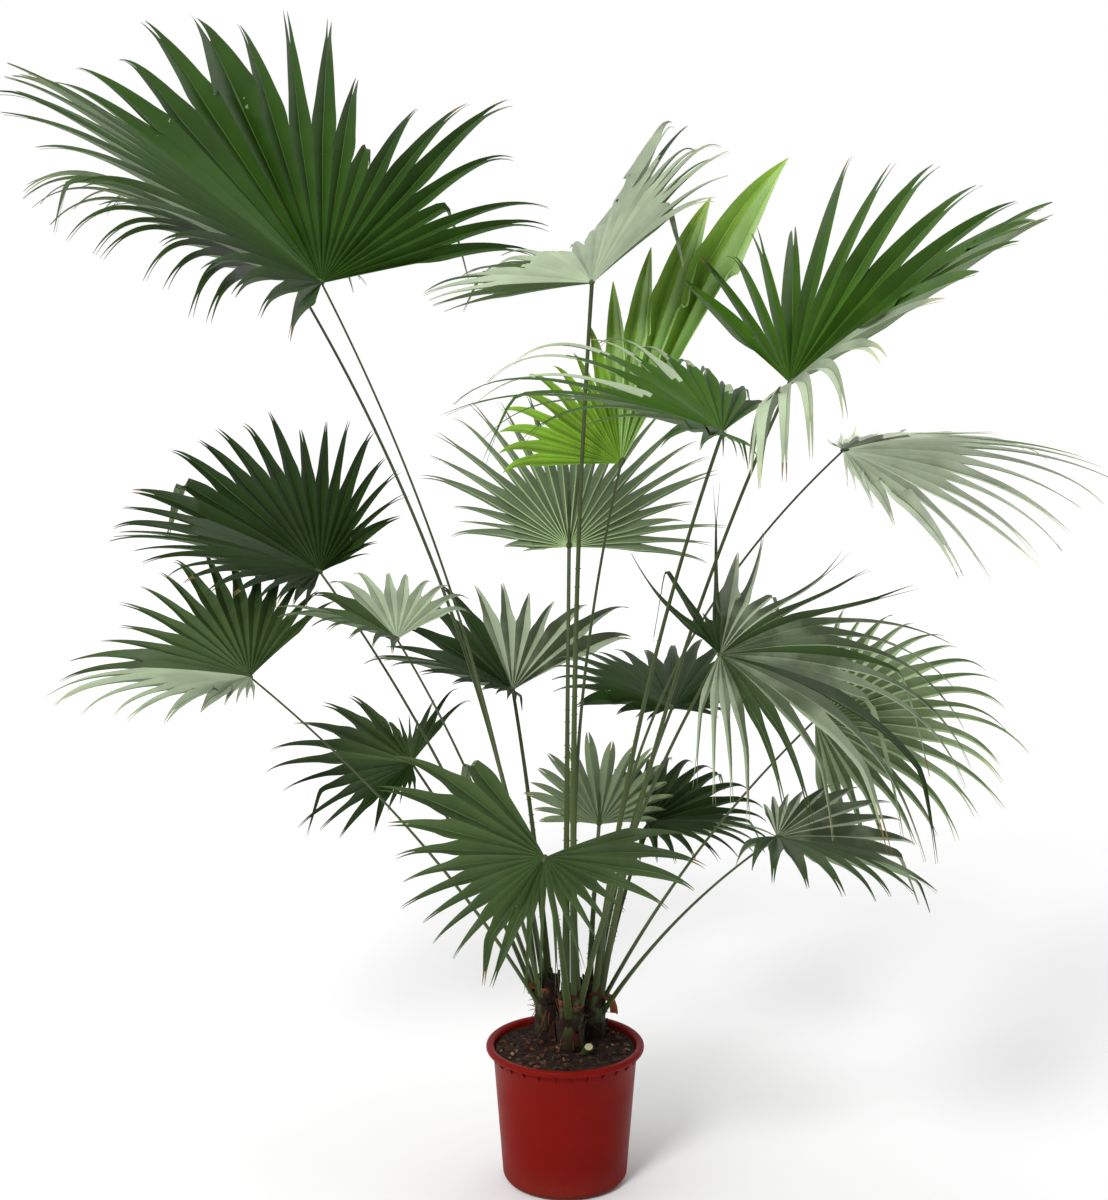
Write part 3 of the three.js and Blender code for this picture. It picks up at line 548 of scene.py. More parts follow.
def peat_finish(name, tone):
    finish = Finish(name, Specular_IOR_Level=0.2)
    place = finish.place()
    crumbs = finish.noise(place, 260, 5)
    lumps = finish.noise(place, 70, 4)
    base = finish.toned((crumbs * 0.6 + lumps * 0.5).between(0.4, 0.75), tone, 0.35, 2.2)
    return finish.wear(base, 1 - lumps * 0.15, crumbs + lumps, 0.0022, 1)


def bark_finish(name, tone):
    finish = Finish(name, Specular_IOR_Level=0.25)
    place = finish.place()
    bits = finish.noise(place, 95, 2)
    grain = finish.noise(place, 420, 3)
    base = finish.toned(bits.between(0.3, 0.72) * 0.8 + grain * 0.3, tone, 0.22, 2.1)
    return finish.wear(base, 0.85 + grain * 0.1, grain, 0.0008, 0.8)


DUST = (0.24, 0.09, 0.06)


def plastic_finish(name, tone):
    """Smooth moulded plastic with faint flow marks, scuffs, and dust along the foot."""
    finish = Finish(name, Specular_IOR_Level=0.05)
    place = finish.place()
    height = finish.axis(place, "Z")
    flow = finish.noise(finish.stretched(place, (9, 9, 30)), 1, 3)
    scuffs = finish.noise(finish.stretched(place, (60, 60, 420)), 1, 2).between(0.62, 0.8)
    dust = (0.05 - height + finish.noise(place, 40) * 0.03).between(0, 0.06)
    base = finish.mix(scuffs * 0.07 + dust * 0.12, finish.toned(flow, tone, 0.82, 1.18), DUST)
    grain = finish.noise(place, 900, 2)
    return finish.wear(base, flow * 0.12 + scuffs * 0.15 + dust * 0.2 + 0.34, grain, 0.0002, 0.3)


def pith_finish(name, tone):
    finish = Finish(name, Specular_IOR_Level=0.3)
    place = finish.place()
    pores = finish.node("ShaderNodeTexVoronoi", sockets={"Vector": place, "Scale": 900}, output="Distance")
    clouds = finish.noise(place, 220, 3)
    base = finish.toned(clouds * 0.6 + (1 - pores) * 0.4, tone, 0.45, 1.15)
    return finish.wear(base, 0.75 + clouds * 0.1, pores, 0.0004, 0.6)


def floor_finish(name, tone, glow):
    """Dull paint, lit up far away so that it meets the background."""
    finish = Finish(name, Specular_IOR_Level=0.1, Emission_Strength=1)
    place = finish.place()
    away = finish.node("ShaderNodeVectorMath", {"operation": "LENGTH"}, {0: place}, output="Value")
    far = away.between(0.3, 4.5)
    finish.feed(finish.shader.inputs["Emission Color"], finish.mix(far, (0, 0, 0), (glow, glow, glow)))
    clouds = finish.noise(place, 3, 2)
    return finish.wear(finish.toned(clouds, tone, 0.995, 1.005), 0.9 + clouds * 0.05)


def made(name, maker, *values):
    """The material of that name, made once."""
    return bpy.data.materials.get(name) or maker(name, *values)


# ---------- shapes ----------

class Shell:
    """Gathers closed skins into the mesh of one piece."""

    def __init__(self):
        self.points, self.faces, self.slots, self.maps = [], [], [], {}
        self.start = self.total = 0

    def add(self, points, faces, slot=0, **maps):
        """Adds points and faces on them."""
        self.start = self.total
        self.total += len(points)
        self.points.append(np.asarray(points, float))
        self.cover(faces, slot, **maps)

    def cover(self, faces, slot=0, **maps):
        """Adds faces on the points that came last, with one number of corners each. A map has a row per corner."""
        faces = np.asarray(faces)
        self.faces.append(faces + self.start)
        self.slots.append(np.broadcast_to(np.asarray(slot), len(faces)))
        for name, rows in maps.items():
            self.maps.setdefault(name, []).append(np.asarray(rows, float).reshape(-1, 2))

    def piece(self, name, materials, slot, nodes=(), crease=35):
        mesh = bpy.data.meshes.new(name)
        faces = [face for group in self.faces for face in group.tolist()]
        mesh.from_pydata(np.concatenate(self.points).tolist(), [], faces)
        for material in materials:
            mesh.materials.append(material)
        mesh.polygons.foreach_set("material_index", np.concatenate(self.slots).astype(np.int32))
        for layer, rows in self.maps.items():
            corners = np.concatenate(rows).astype(np.float32).ravel()
            mesh.uv_layers.new(name=layer).uv.foreach_set("vector", corners)
        mesh.shade_smooth()
        mesh.set_sharp_from_angle(angle=math.radians(crease))
        mesh.update()
        piece = bpy.data.objects.new(name, mesh)
        bpy.context.scene.collection.objects.link(piece)
        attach(piece, "root")
        if nodes:
            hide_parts(*nodes)
        return piece


def mix(a, b, t):
    return a + (b - a) * t


def smooth(t):
    t = np.clip(t, 0, 1)
    return t * t * (3 - 2 * t)


def unit(vectors):
    return vectors / np.maximum(np.linalg.norm(vectors, axis=-1, keepdims=True), 1e-12)


def flat(heading):
    return np.array([math.cos(math.radians(heading)), math.sin(math.radians(heading)), 0])


def chance(a, b):
    """A number from 0 to 1 that is always the same for the same two numbers."""
    wave = math.sin(a * 127.1 + b * 311.7) * 43758.5453
    return wave - math.floor(wave)


UP = np.array([0.0, 0.0, 1.0])


def circle(sides):
    """Evenly spaced angles all round."""
    return np.arange(sides) / sides * 2 * math.pi


def ring_faces(rows, around):
    """Quads between rings of points, which run the same way round."""
    k = np.arange(around)
    ring = np.arange(rows - 1)[:, None] * around
    after = (k + 1) % around
    return np.stack([ring + k, ring + after, ring + around + after, ring + around + k], -1).reshape(-1, 4)


def end_faces(rows, around):
    """Triangles that close both ends of such rings, to two middle points that follow them."""
    k = np.arange(around)
    after = (k + 1) % around
    last = (rows - 1) * around
    middle = np.full(around, rows * around)
    return np.concatenate([np.stack([after, k, middle], -1), np.stack([last + k, last + after, middle + 1], -1)])


def add_tube(shell, rings, slot=0, run=None):
    """A closed skin through rings of points, with flat ends. run gives each ring's place along the Run map."""
    rows, around = rings.shape[:2]
    run = np.linspace(0, 1, rows) if run is None else np.asarray(run)
    k = np.arange(around)
    side = np.tile(np.stack([k, k + 1, k + 1, k], -1), (rows - 1, 1)) / around
    high = np.repeat(np.stack([run[:-1], run[:-1], run[1:], run[1:]], -1), around, axis=0)
    points = np.concatenate([rings.reshape(-1, 3), rings[:1].mean(1), rings[-1:].mean(1)])
    shell.add(points, ring_faces(rows, around), slot, Run=np.stack([side, high], -1))
    shell.cover(end_faces(rows, around), slot, Run=np.repeat([[0.5, run[0]], [0.5, run[-1]]], 3 * around, axis=0))


def add_strand(shell, path, radius, slot=0):
    """A thin round strand that narrows to both ends."""
    tangent = unit(np.gradient(path, axis=0))
    side = unit(np.cross(tangent, UP + 1e-3))
    over = np.cross(side, tangent)
    turn = circle(4)
    size = radius * np.interp(np.linspace(0, 1, len(path)), [0, 0.15, 0.8, 1], [0.5, 1, 0.9, 0.25])
    ring = np.cos(turn)[None, :, None] * side[:, None] + np.sin(turn)[None, :, None] * over[:, None]
    add_tube(shell, (path[:, None] + ring * size[:, None, None])[:, ::-1], slot)


def lathe(profile, sides):
    """Points, quads and end triangles of a profile turned about the upright axis, on which it starts and ends."""
    profile = np.asarray(profile, float)
    angles = circle(sides)
    body = profile[1:-1]
    rings = np.stack([body[:, :1] * np.cos(angles), body[:, :1] * np.sin(angles),
                      np.broadcast_to(body[:, 1:], (len(body), sides))], -1)
    points = np.concatenate([rings.reshape(-1, 3), [[0, 0, profile[0][1]], [0, 0, profile[-1][1]]]])
    return points, ring_faces(len(body), sides), end_faces(len(body), sides)


RIM_WIDTH = 0.0016  # width of a sheet's edge on the OFBake map


def thickened(points, faces, above, below, maps, slots, under_slots):
    """A closed skin of a sheet of quads, by its thickness above and below each point. Each map has a row per
    corner, and on OFBake the under layer lies half a width to the right."""
    a, b = points[faces[:, 2]] - points[faces[:, 0]], points[faces[:, 3]] - points[faces[:, 1]]
    turned = np.cross(a, b)
    normal = np.zeros_like(points)
    for corner in range(4):
        np.add.at(normal, faces[:, corner], turned)
    normal = unit(normal)
    total = len(points)
    start, end = faces.ravel(), np.roll(faces, -1, axis=1).ravel()
    edge = np.flatnonzero(~np.isin(start * total + end, end * total + start))
    after = edge - edge % 4 + (edge + 1) % 4
    rim = np.stack([end[edge], start[edge], start[edge] + total, end[edge] + total], -1)
    joined = {}
    for name, rows in maps.items():
        baked = name == "OFBake"
        rows = rows.reshape(-1, 4, 2)
        near, far = rows.reshape(-1, 2)[edge], rows.reshape(-1, 2)[after]
        out = (unit(far - near) @ np.array([[0, -1], [1, 0]])) * (RIM_WIDTH * baked)
        joined[name] = np.concatenate([rows, rows[:, ::-1] + (0.5 * baked, 0),
                                       np.stack([far, near, near + out, far + out], 1)])
    skin = np.concatenate([points + normal * above[:, None], points - normal * below[:, None]])
    return (skin, np.concatenate([faces, faces[:, ::-1] + total, rim]),
            np.concatenate([slots, under_slots, slots[edge // 4]]), joined)


def add_sheet(shell, grid, place, thin, slot=0):
    """A closed thin sheet through a grid of points. place gives each point's place on the Run map."""
    rows, columns = grid.shape[:2]
    index = np.arange(rows * columns).reshape(rows, columns)
    faces = np.stack([index[:-1, :-1], index[:-1, 1:], index[1:, 1:], index[1:, :-1]], -1).reshape(-1, 4)
    half = np.full(rows * columns, thin / 2)
    slots = np.full(len(faces), slot)
    skin, sides, slots, maps = thickened(grid.reshape(-1, 3), faces, half, half,
                                         {"Run": place.reshape(-1, 2)[faces]}, slots, slots)
    shell.add(skin, sides, slots, **maps)


# ---------- stems and stalks ----------

def stem_axis(stem, part):
    """A place on a stem's middle line, by the part of its height."""
    (x, y), (lean_x, lean_y) = stem.foot, stem.lean
    level = bpy.context.scene.palm_soil.level
    return np.array([x + lean_x * part, y + lean_y * part, level + CLEARANCE + stem.height * part])


def stem_part(stem, height):
    """The part of a stem's height that is at a height over the pot's underside."""
    return (height - bpy.context.scene.palm_soil.level - CLEARANCE) / stem.height


def stalk_route(frond):
    """The stalk's foot, bend and hub, and its direction to the side."""
    stem = STEMS[frond.stem]
    heading, height = frond.foot
    part = stem_part(stem, height)
    foot = stem_axis(stem, part) + flat(heading) * stem.radii[2] * 0.9
    hub = np.array(frond.hub)
    chord = hub - foot
    along = unit(chord)
    lift = unit(UP - along * along[2])
    middle = (foot + hub) / 2 + lift * frond.bow * np.linalg.norm(chord)
    return Row(stem=stem, part=part, foot=foot, middle=middle, hub=hub, across=unit(np.cross(UP, along)))


def bezier(a, b, c, t):
    t = np.asarray(t)[:, None]
    return a * (1 - t) ** 2 + b * 2 * t * (1 - t) + c * t ** 2


def blade_frame(frond):
    """The directions along a blade's middle line, to its right and out of its upper face."""
    rise, roll = math.radians(frond.rise), math.radians(frond.roll)
    along = flat(frond.heading) * math.cos(rise) + UP * math.sin(rise)
    level = flat(frond.heading - 90)
    face = np.cross(level, along)
    return Row(along=along, right=level * math.cos(roll) + face * math.sin(roll),
               face=face * math.cos(roll) - level * math.sin(roll))


def along_edge(factor, angles):
    """A factor at each angle: one number, or pairs of an angle and the number there."""
    return np.interp(angles, *zip(*factor)) if isinstance(factor, tuple) else np.full(len(angles), float(factor))


def blade_lines(frond, angles, places, droops=1.0, hang=0.0, kink_at=1.0, kink=0.0):
    """Lines from the hub, each at its own angle from the middle line, which bend under their weight. Returns the
    points of each, their lengths, and where each leaves its neighbours. hang bends the thin tips further down, and
    kink bends a leaflet over at a share of its free part."""
    leaf = bpy.context.scene.palm_leaf
    axes = blade_frame(frond)
    radians = np.radians(angles)
    outer = np.abs(angles) / (frond.spread / 2 + abs(frond.turn))
    luck = np.array([chance(frond.number, place) for place in places])
    lengths = frond.radius * (1 - (1 - frond.side) * outer ** frond.shape) * (1 - leaf.unevenness * luck)
    lengths = lengths * along_edge(frond.reach, angles)
    fused = frond.fused * along_edge(frond.join, angles)
    lift = math.radians(frond.fold) * np.minimum(1, np.abs(angles) / FOLD_SPAN)
    sideways = np.abs(np.sin(radians))
    away = (axes.along * np.cos(radians)[:, None]
            + axes.right * (np.sign(angles) * np.cos(lift) * sideways)[:, None]
            + axes.face * (np.sin(lift) * sideways)[:, None])
    reached = (np.arange(WALK_STEPS) + 0.5) / WALK_STEPS
    free = np.maximum(0, (reached - fused[:, None]) / (1 - fused[:, None]))
    droops, hang, kink_at, kink = (np.broadcast_to(row, len(angles))[:, None]
                                   for row in (droops, hang, kink_at, kink))
    droop = frond.droop * (1 + frond.limp * outer ** 2) * along_edge(frond.fall, angles)
    bend = (frond.arch * reached + droop[:, None] * droops * free ** 1.9
            + hang * np.maximum(0, (free - HANG_START) / (1 - HANG_START)) ** 2
            + kink * smooth((free - kink_at) / KINK_LENGTH))
    steps = unit(away[:, None] - UP * bend[..., None]) * (lengths / WALK_STEPS)[:, None, None]
    walk = np.concatenate([np.zeros((len(angles), 1, 3)), np.cumsum(steps, axis=1)], axis=1)
    return walk + np.array(frond.hub), lengths, lengths * fused


def walked(points, lengths, distances):
    """Points of each line at distances from the hub."""
    place = np.clip(distances / (lengths[:, None] / WALK_STEPS), 0, WALK_STEPS - 1e-6)
    step = place.astype(int)
    rows = np.arange(len(points))[:, None]
    return mix(points[rows, step], points[rows, step + 1], (place - step)[..., None])


def add_thorns(shell, path, across, widths, size, rng):
    """Small hooked thorns on both edges of the lower half of a stalk."""
    reach = np.concatenate([[0], np.cumsum(np.linalg.norm(np.diff(path, axis=0), axis=1))])
    at = reach[-1] * THORNS_START
    while at < reach[-1] * THORNS_END:
        at += rng.uniform(0.010, 0.022)
        k = min(int(np.searchsorted(reach, at)), len(path) - 2)
        tangent = unit(path[k + 1] - path[k])
        for out in (-across, across):
            if rng.random() < 0.25:
                continue
            root = path[k] + out * (widths[k] - 0.0004)
            tip = root + out * size * rng.uniform(0.6, 1.1) - tangent * size * 0.5
            up = np.cross(tangent, out) * size * 0.22
            points = [root - tangent * size * 0.4, root + tangent * size * 0.4, root + up, root - up, tip]
            faces = [(0, 2, 4), (2, 1, 4), (1, 3, 4), (3, 0, 4), (0, 3, 2), (3, 1, 2)]
            if np.dot(np.cross(points[2] - points[0], points[4] - points[0]), points[0] - path[k]) < 0:
                faces = [face[::-1] for face in faces]
            shell.add(points, faces, Run=np.full((18, 2), 0.3))


def add_crest(shell, hub, axes, turn):
    """The raised crest on the upper side, where the leaflets leave the stalk."""
    long, wide, high = 0.008, 0.0055, 0.0035
    levels = np.radians([-80, -50, -20, 10, 40, 65, 84])[:, None, None]
    ring = np.cos(turn)[:, None] * axes.along * long - np.sin(turn)[:, None] * axes.right * wide
    crest = hub + axes.along * 0.003 + np.cos(levels) * ring + np.sin(levels) * axes.face * high
    add_tube(shell, crest[:, ::-1], 0, np.full(len(levels), 0.9))


def costa_path(frond, axes, reach, taper):
    """The way of the rib under the blade, along its middle line or the seam nearest to it."""
    low, high = leaflet_angles(frond, np.array([1, frond.leaflets - 1]))
    line, lengths, _ = blade_lines(frond, np.array([min(max(0, low), high)]), [0])
    path = walked(line, lengths, reach[None])[0]
    under = unit(np.gradient(path, axis=0))
    face = unit(axes.face - under * (under @ axes.face)[:, None])
    return path - face * (taper[:, None] * 0.8 + 0.0012)


def build_stalk(shell, frond, rng):
    """One stalk: a broad base that clasps its stem, a long arch, and a rib that runs on under the blade."""
    settings = bpy.context.scene.palm_stalk
    route = stalk_route(frond)
    stem, across = route.stem, route.across
    axes = blade_frame(frond)
    clasp_parts, arch_parts = np.linspace(0, 1, CLASP_ROWS), np.linspace(0, 1, ARCH_ROWS)

    # The middle line of the base, the arch and the rib.
    low = max(0.04, route.part - rng.uniform(0.5, 0.8))
    out = flat(frond.foot[0])
    base = stem_axis(stem, low) + out * (np.interp(low, STEM_LEVELS, stem.radii) - 0.001)
    bend = stem_axis(stem, route.part - 0.16) + out * (stem.radii[2] + 0.002)
    clasp = bezier(base, bend, route.foot, clasp_parts * 0.93)
    arch = bezier(route.foot, route.middle, route.hub, arch_parts)
    taper = np.linspace(0.9, 0.2, COSTA_ROWS) * settings.tip_width / 2
    costa = costa_path(frond, axes, np.linspace(COSTA_START, settings.costa * frond.radius, COSTA_ROWS), taper)
    path = np.concatenate([clasp, arch, costa])

    # Half its width, how deep it is for its width, and its direction to the side.
    width = mix(settings.tip_width, frond.foot_width, (1 - arch_parts) ** settings.taper) / 2
    half = np.concatenate([np.linspace(0.012, frond.foot_width / 2 * 1.05, CLASP_ROWS), width, taper])
    flatness = np.concatenate([np.linspace(0.26, settings.flatness * 0.9, CLASP_ROWS),
                               np.full(ARCH_ROWS, settings.flatness), np.full(COSTA_ROWS, 0.8)])
    round_stem = flat(frond.foot[0] + 90)
    round_stem = -round_stem if round_stem @ across < 0 else round_stem
    blade_side = axes.right if axes.right @ across > 0 else -axes.right
    side = np.concatenate([mix(round_stem, across, (clasp_parts * 0.9)[:, None] ** 2),
                           np.tile(across, (ARCH_ROWS, 1)), np.tile(blade_side, (COSTA_ROWS, 1))])
    tangent = unit(np.gradient(path, axis=0))
    side = unit(side - tangent * (side * tangent).sum(1)[:, None])
    back = np.cross(tangent, side)

    # Its cross-section: round below, with a shallow channel above.
    turn = circle(STALK_SIDES)
    x, y = np.cos(turn), np.sin(turn)
    y = np.where(y > 0, y * 0.55 - 0.28 * np.exp(-(x / 0.45) ** 2), y)
    rings = (path[:, None] + side[:, None] * (half[:, None] * x)[..., None]
             + back[:, None] * ((half * flatness)[:, None] * y)[..., None])
    run = np.concatenate([clasp_parts * 0.1, mix(0.1, 0.9, arch_parts), np.linspace(0.91, 1, COSTA_ROWS)])
    add_tube(shell, rings, 0, run)
    add_thorns(shell, arch, across, width, settings.thorn, rng)
    add_crest(shell, route.hub, axes, turn)


def add_boot(shell, stem, number, settings, rng):
    """The base of an old leaf, which clasps its stem and is torn off in three strips."""
    part = number / settings.boots
    low = stem_axis(stem, part * 0.85)
    radius = np.interp(part * 0.85, STEM_LEVELS, stem.radii) + 0.0006
    x, t = np.linspace(-1, 1, 9), np.linspace(0, 1, 10)[:, None]
    torn = np.repeat(rng.uniform(0.7, 1, 3), 3) * rng.uniform(0.95, 1, 9)
    up = t * torn
    lift = 0.001 + rng.uniform(0.003, 0.013) * up ** 1.5
    away = radius + lift * (1 - 0.3 * x ** 2) + 0.0006 * np.sin(x * 9 + number)
    half = settings.boot_width / 2 / radius * (1 - 0.55 * up ** 1.6) * rng.uniform(0.8, 1.15)
    angle = math.radians(number * GOLDEN_ANGLE + 20) + x * half + 0.15 * up * rng.uniform(-1, 1)
    height = rng.uniform(0.026, 0.046) * up
    grid = low + np.stack([np.cos(angle) * away, np.sin(angle) * away, height], -1)
    place = np.stack([np.broadcast_to((x + 1) / 2, up.shape), up], -1)
    add_sheet(shell, grid, place, 0.0007, 2 + int(rng.random() < 0.15 + 0.45 * part))


# ---------- leaves ----------

SHEEN_STREAKED = {"striped": 0.36, "dusty": 0.38, "tender": 0.62}  # tints with streaks of painted sheen: how dark the painted shade between them is
SHEEN_SHARE = 0.36  # how far the painted sheen streaks are towards the palest sheen tint
UPPER, UNDER, RIB, DRY, OTHERS = range(5)  # material slots of a fan


def upper_finish(leaf, tint):
    """The upper side of a blade."""
    tone = np.array(getattr(leaf, tint))
    # A streaked tint gets painted sheen on one half of each leaflet and painted shade on the other.
    streaks = (0.9, mix(tone, np.array(leaf.silver), SHEEN_SHARE), SHEEN_STREAKED[tint]) if tint in SHEEN_STREAKED else ()
    return made(f"leaf_{tint}", leaf_finish, tone, 0.42, *streaks)


def leaflet_angles(frond, places):
    return frond.turn - frond.spread / 2 + places * frond.spread / frond.leaflets


def fan_lines(frond, rng):
    """The seams between the leaflets and the leaflets' middle lines, their lengths, and where leaflets part."""
    number = frond.leaflets
    places = np.arange(number + 1)
    seams, seam_lengths, splits = blade_lines(frond, leaflet_angles(frond, places), places + 0.5)
    middles, lengths, _ = blade_lines(
        frond, leaflet_angles(frond, places[:-1] + 0.5), places[:-1],
        1 + 0.2 * frond.stray * rng.uniform(-1, 1, number),
        frond.hang * rng.random(number) ** 2,
        rng.uniform(0.12, 0.6, number),
        frond.kink * (rng.random(number) < frond.bent) * rng.uniform(0.7, 1.3, number))
    return Row(seams=seams, seam_lengths=seam_lengths, splits=splits, middles=middles, lengths=lengths,
               starts=(splits[:-1] + splits[1:]) / 2)


def joined_part(frond, lines, joined):
    """Points across each leaflet where it is joined: seams stand up and middle lines lie low. Also gives the way
    from the middle of each leaflet to its right edge, where it becomes free."""
    seams = walked(lines.seams, lines.seam_lengths, lines.splits[:, None] * joined)
    middles = walked(lines.middles, lines.lengths, lines.starts[:, None] * joined)
    gap = seams[1:] - seams[:-1]
    wide = np.linalg.norm(gap, axis=-1)
    up = unit(np.cross(gap, unit(np.gradient(middles, axis=1))))
    seam_up = unit(np.concatenate([up[:1], up[:-1] + up[1:], up[-1:]]))
    seam_wide = np.concatenate([wide[:1], (wide[:-1] + wide[1:]) / 2, wide[-1:]])
    depth = mix(frond.pleat * HUB_PLEAT, frond.pleat * SPLIT_PLEAT, joined) / frond.folds
    raised = seams + seam_up * (seam_wide * depth * 0.5)[..., None]
    sag = (seams[:-1] + seams[1:]) / 2 - middles
    places, heights = np.array(CREASES[frond.folds]).T
    grid = (middles[:, :, None] + gap[:, :, None] / 2 * places[:, None] + sag[:, :, None] * (places ** 2)[:, None]
            + up[:, :, None] * ((wide * depth * 0.5)[..., None] * heights)[..., None])
    grid[:, :, 0], grid[:, :, -1] = raised[:-1], raised[1:]
    return grid, gap[:, -1] / 2


def clear_reach(centre_line, across, obstacles):
    """The share of a leaflet that stays clear of limbs and earlier blades, found with a plain strip of its size."""
    shares = np.linspace(0.04, 1, PROBES)
    wide = across * (1 - shares[:, None] ** 1.4) * 0.9
    faces = [(k, k + 1, k + PROBES + 1, k + PROBES) for k in range(PROBES - 1)]
    for reach in REACHES:
        centre = centre_line(shares * reach)
        strip = BVHTree.FromPolygons(np.concatenate([centre - wide, centre + wide]).tolist(), faces)
        if not any(strip.overlap(tree) for tree in obstacles):
            break
    return reach


def free_part(frond, lines, across, shares, rng, obstacles):
    """Points across each leaflet where it is free and bends down along its own middle line. Also gives how narrow
    it is there, and the row at which its tip forks."""
    leaf = bpy.context.scene.palm_leaf
    number, rows = frond.leaflets, len(shares) - 1
    free = lines.lengths - lines.starts
    swing = np.tan(leaf.swing * frond.stray * rng.uniform(-1, 1, number))

    def centre_line(j, parts):
        run = mix(lines.starts[j], lines.lengths[j], parts)
        points = walked(lines.middles[j:j + 1], lines.lengths[j:j + 1], run[None])[0]
        return points + unit(across[j]) * (swing[j] * free[j] * parts)[:, None]

    reach = np.array([clear_reach(partial(centre_line, j), across[j], obstacles) for j in range(number)])
    centres = np.stack([centre_line(j, shares * reach[j]) for j in range(number)])
    tangent = unit(np.gradient(centres, axis=1))
    side = unit(across[:, None] - tangent * (across[:, None] * tangent).sum(-1, keepdims=True))
    size = np.linalg.norm(across, axis=-1)[:, None, None]
    top = np.cross(side, tangent)
    angle = leaf.twist * rng.uniform(-1, 1, (number, 1)) * shares ** 1.5
    cos, sin = np.cos(angle)[..., None], np.sin(angle)[..., None]
    side, top = (side * cos + top * sin) * size, (top * cos - side * sin) * size
    narrow = mix(TIP_WIDTH, 1, 1 - shares ** frond.point) * mix(1, frond.slim, smooth(shares / SLIM_LENGTH))
    fork = rng.integers(round(rows * FORK_FIRST), round(rows * FORK_LAST), number)
    opening = np.tan(np.radians(rng.uniform(1.5, 5, number)))
    parting = np.maximum(0, shares - (fork / rows)[:, None]) * (frond.folds == 1)
    parting = parting * (opening * reach * free)[:, None] / size[..., 0]
    places, heights = np.array(CREASES[frond.folds]).T
    flatter = mix(frond.pleat * SPLIT_PLEAT, frond.pleat * TIP_PLEAT, shares) / frond.folds
    offset = places * narrow[None, :, None] + np.where(places < 0, -1, 1) * parting[..., None]
    grid = (centres[:, :, None] + side[:, :, None] * offset[..., None]
            + top[:, :, None] * ((flatter * narrow)[:, None] * heights)[None, ..., None])
    return grid, narrow, fork


def fan_maps(number, places, ribs, along):
    """Two maps with a column for each leaflet. On OFBake the blade takes up the left of its column and the ribs
    lie in strips on the right, with bare gaps between. Vein runs across each leaflet and from hub to tip."""
    is_rib = np.isin(np.arange(len(places) - 1), ribs)
    blade_x = 0.06 + 0.56 * np.concatenate([[0], np.cumsum(~is_rib)]) / (~is_rib).sum()
    low_x, high_x = blade_x[:-1].copy(), blade_x[1:].copy()
    low_x[ribs] = 0.70 + 0.26 * np.arange(len(ribs)) / len(ribs)
    high_x[ribs] = low_x[ribs] + 0.18 / len(ribs)
    cuts = 0.06 + 0.88 * (places + 1) / 2

    def corners(low, high, scale):
        shape = (number, len(along) - 1, len(places) - 1)
        x0, x1 = (np.broadcast_to((np.arange(number)[:, None, None] + x) * scale, shape) for x in (low, high))
        y0, y1 = (np.broadcast_to(y[None, :, None], shape) for y in (along[:-1], along[1:]))
        return np.stack([x0, y0, x1, y0, x1, y1, x0, y1], -1).reshape(-1, 4, 2)

    return {"OFBake": corners(low_x, high_x, 0.49 / number) * (1, 0.98) + (0.005, 0.01),
            "Vein": corners(cuts[:-1], cuts[1:], 1)}


def fan_slots(frond, shape, ribs, rng):
    """The material slot of each face, above and below."""
    number, total, columns = shape
    above = np.full(shape, UPPER)
    above[:, :, ribs] = RIB
    below = np.where(above == RIB, RIB, UNDER)
    uneven = rng.uniform(0.6, 1.2, number)
    dry_rows = rng.integers(1, 4, number) * (rng.random(number) < (0 if frond.tint == "young" else DRY_TIPS))
    for j, angle in enumerate(leaflet_angles(frond, np.arange(number) + 0.5)):
        for k, (_, low, high, start) in enumerate(frond.others):
            if low <= angle <= high:
                # Part of the way along, the tint starts at a slant, to the left and to the right in turn.
                slant = (np.arange(columns) - columns // 2) * 1.4 * (-1) ** j * (start > 0)
                later = np.arange(total)[:, None] >= start * uneven[j] * total + slant
                above[j][later & (above[j] == UPPER)] = OTHERS + k
        above[j, total - dry_rows[j]:] = below[j, total - dry_rows[j]:] = DRY
    return above, below


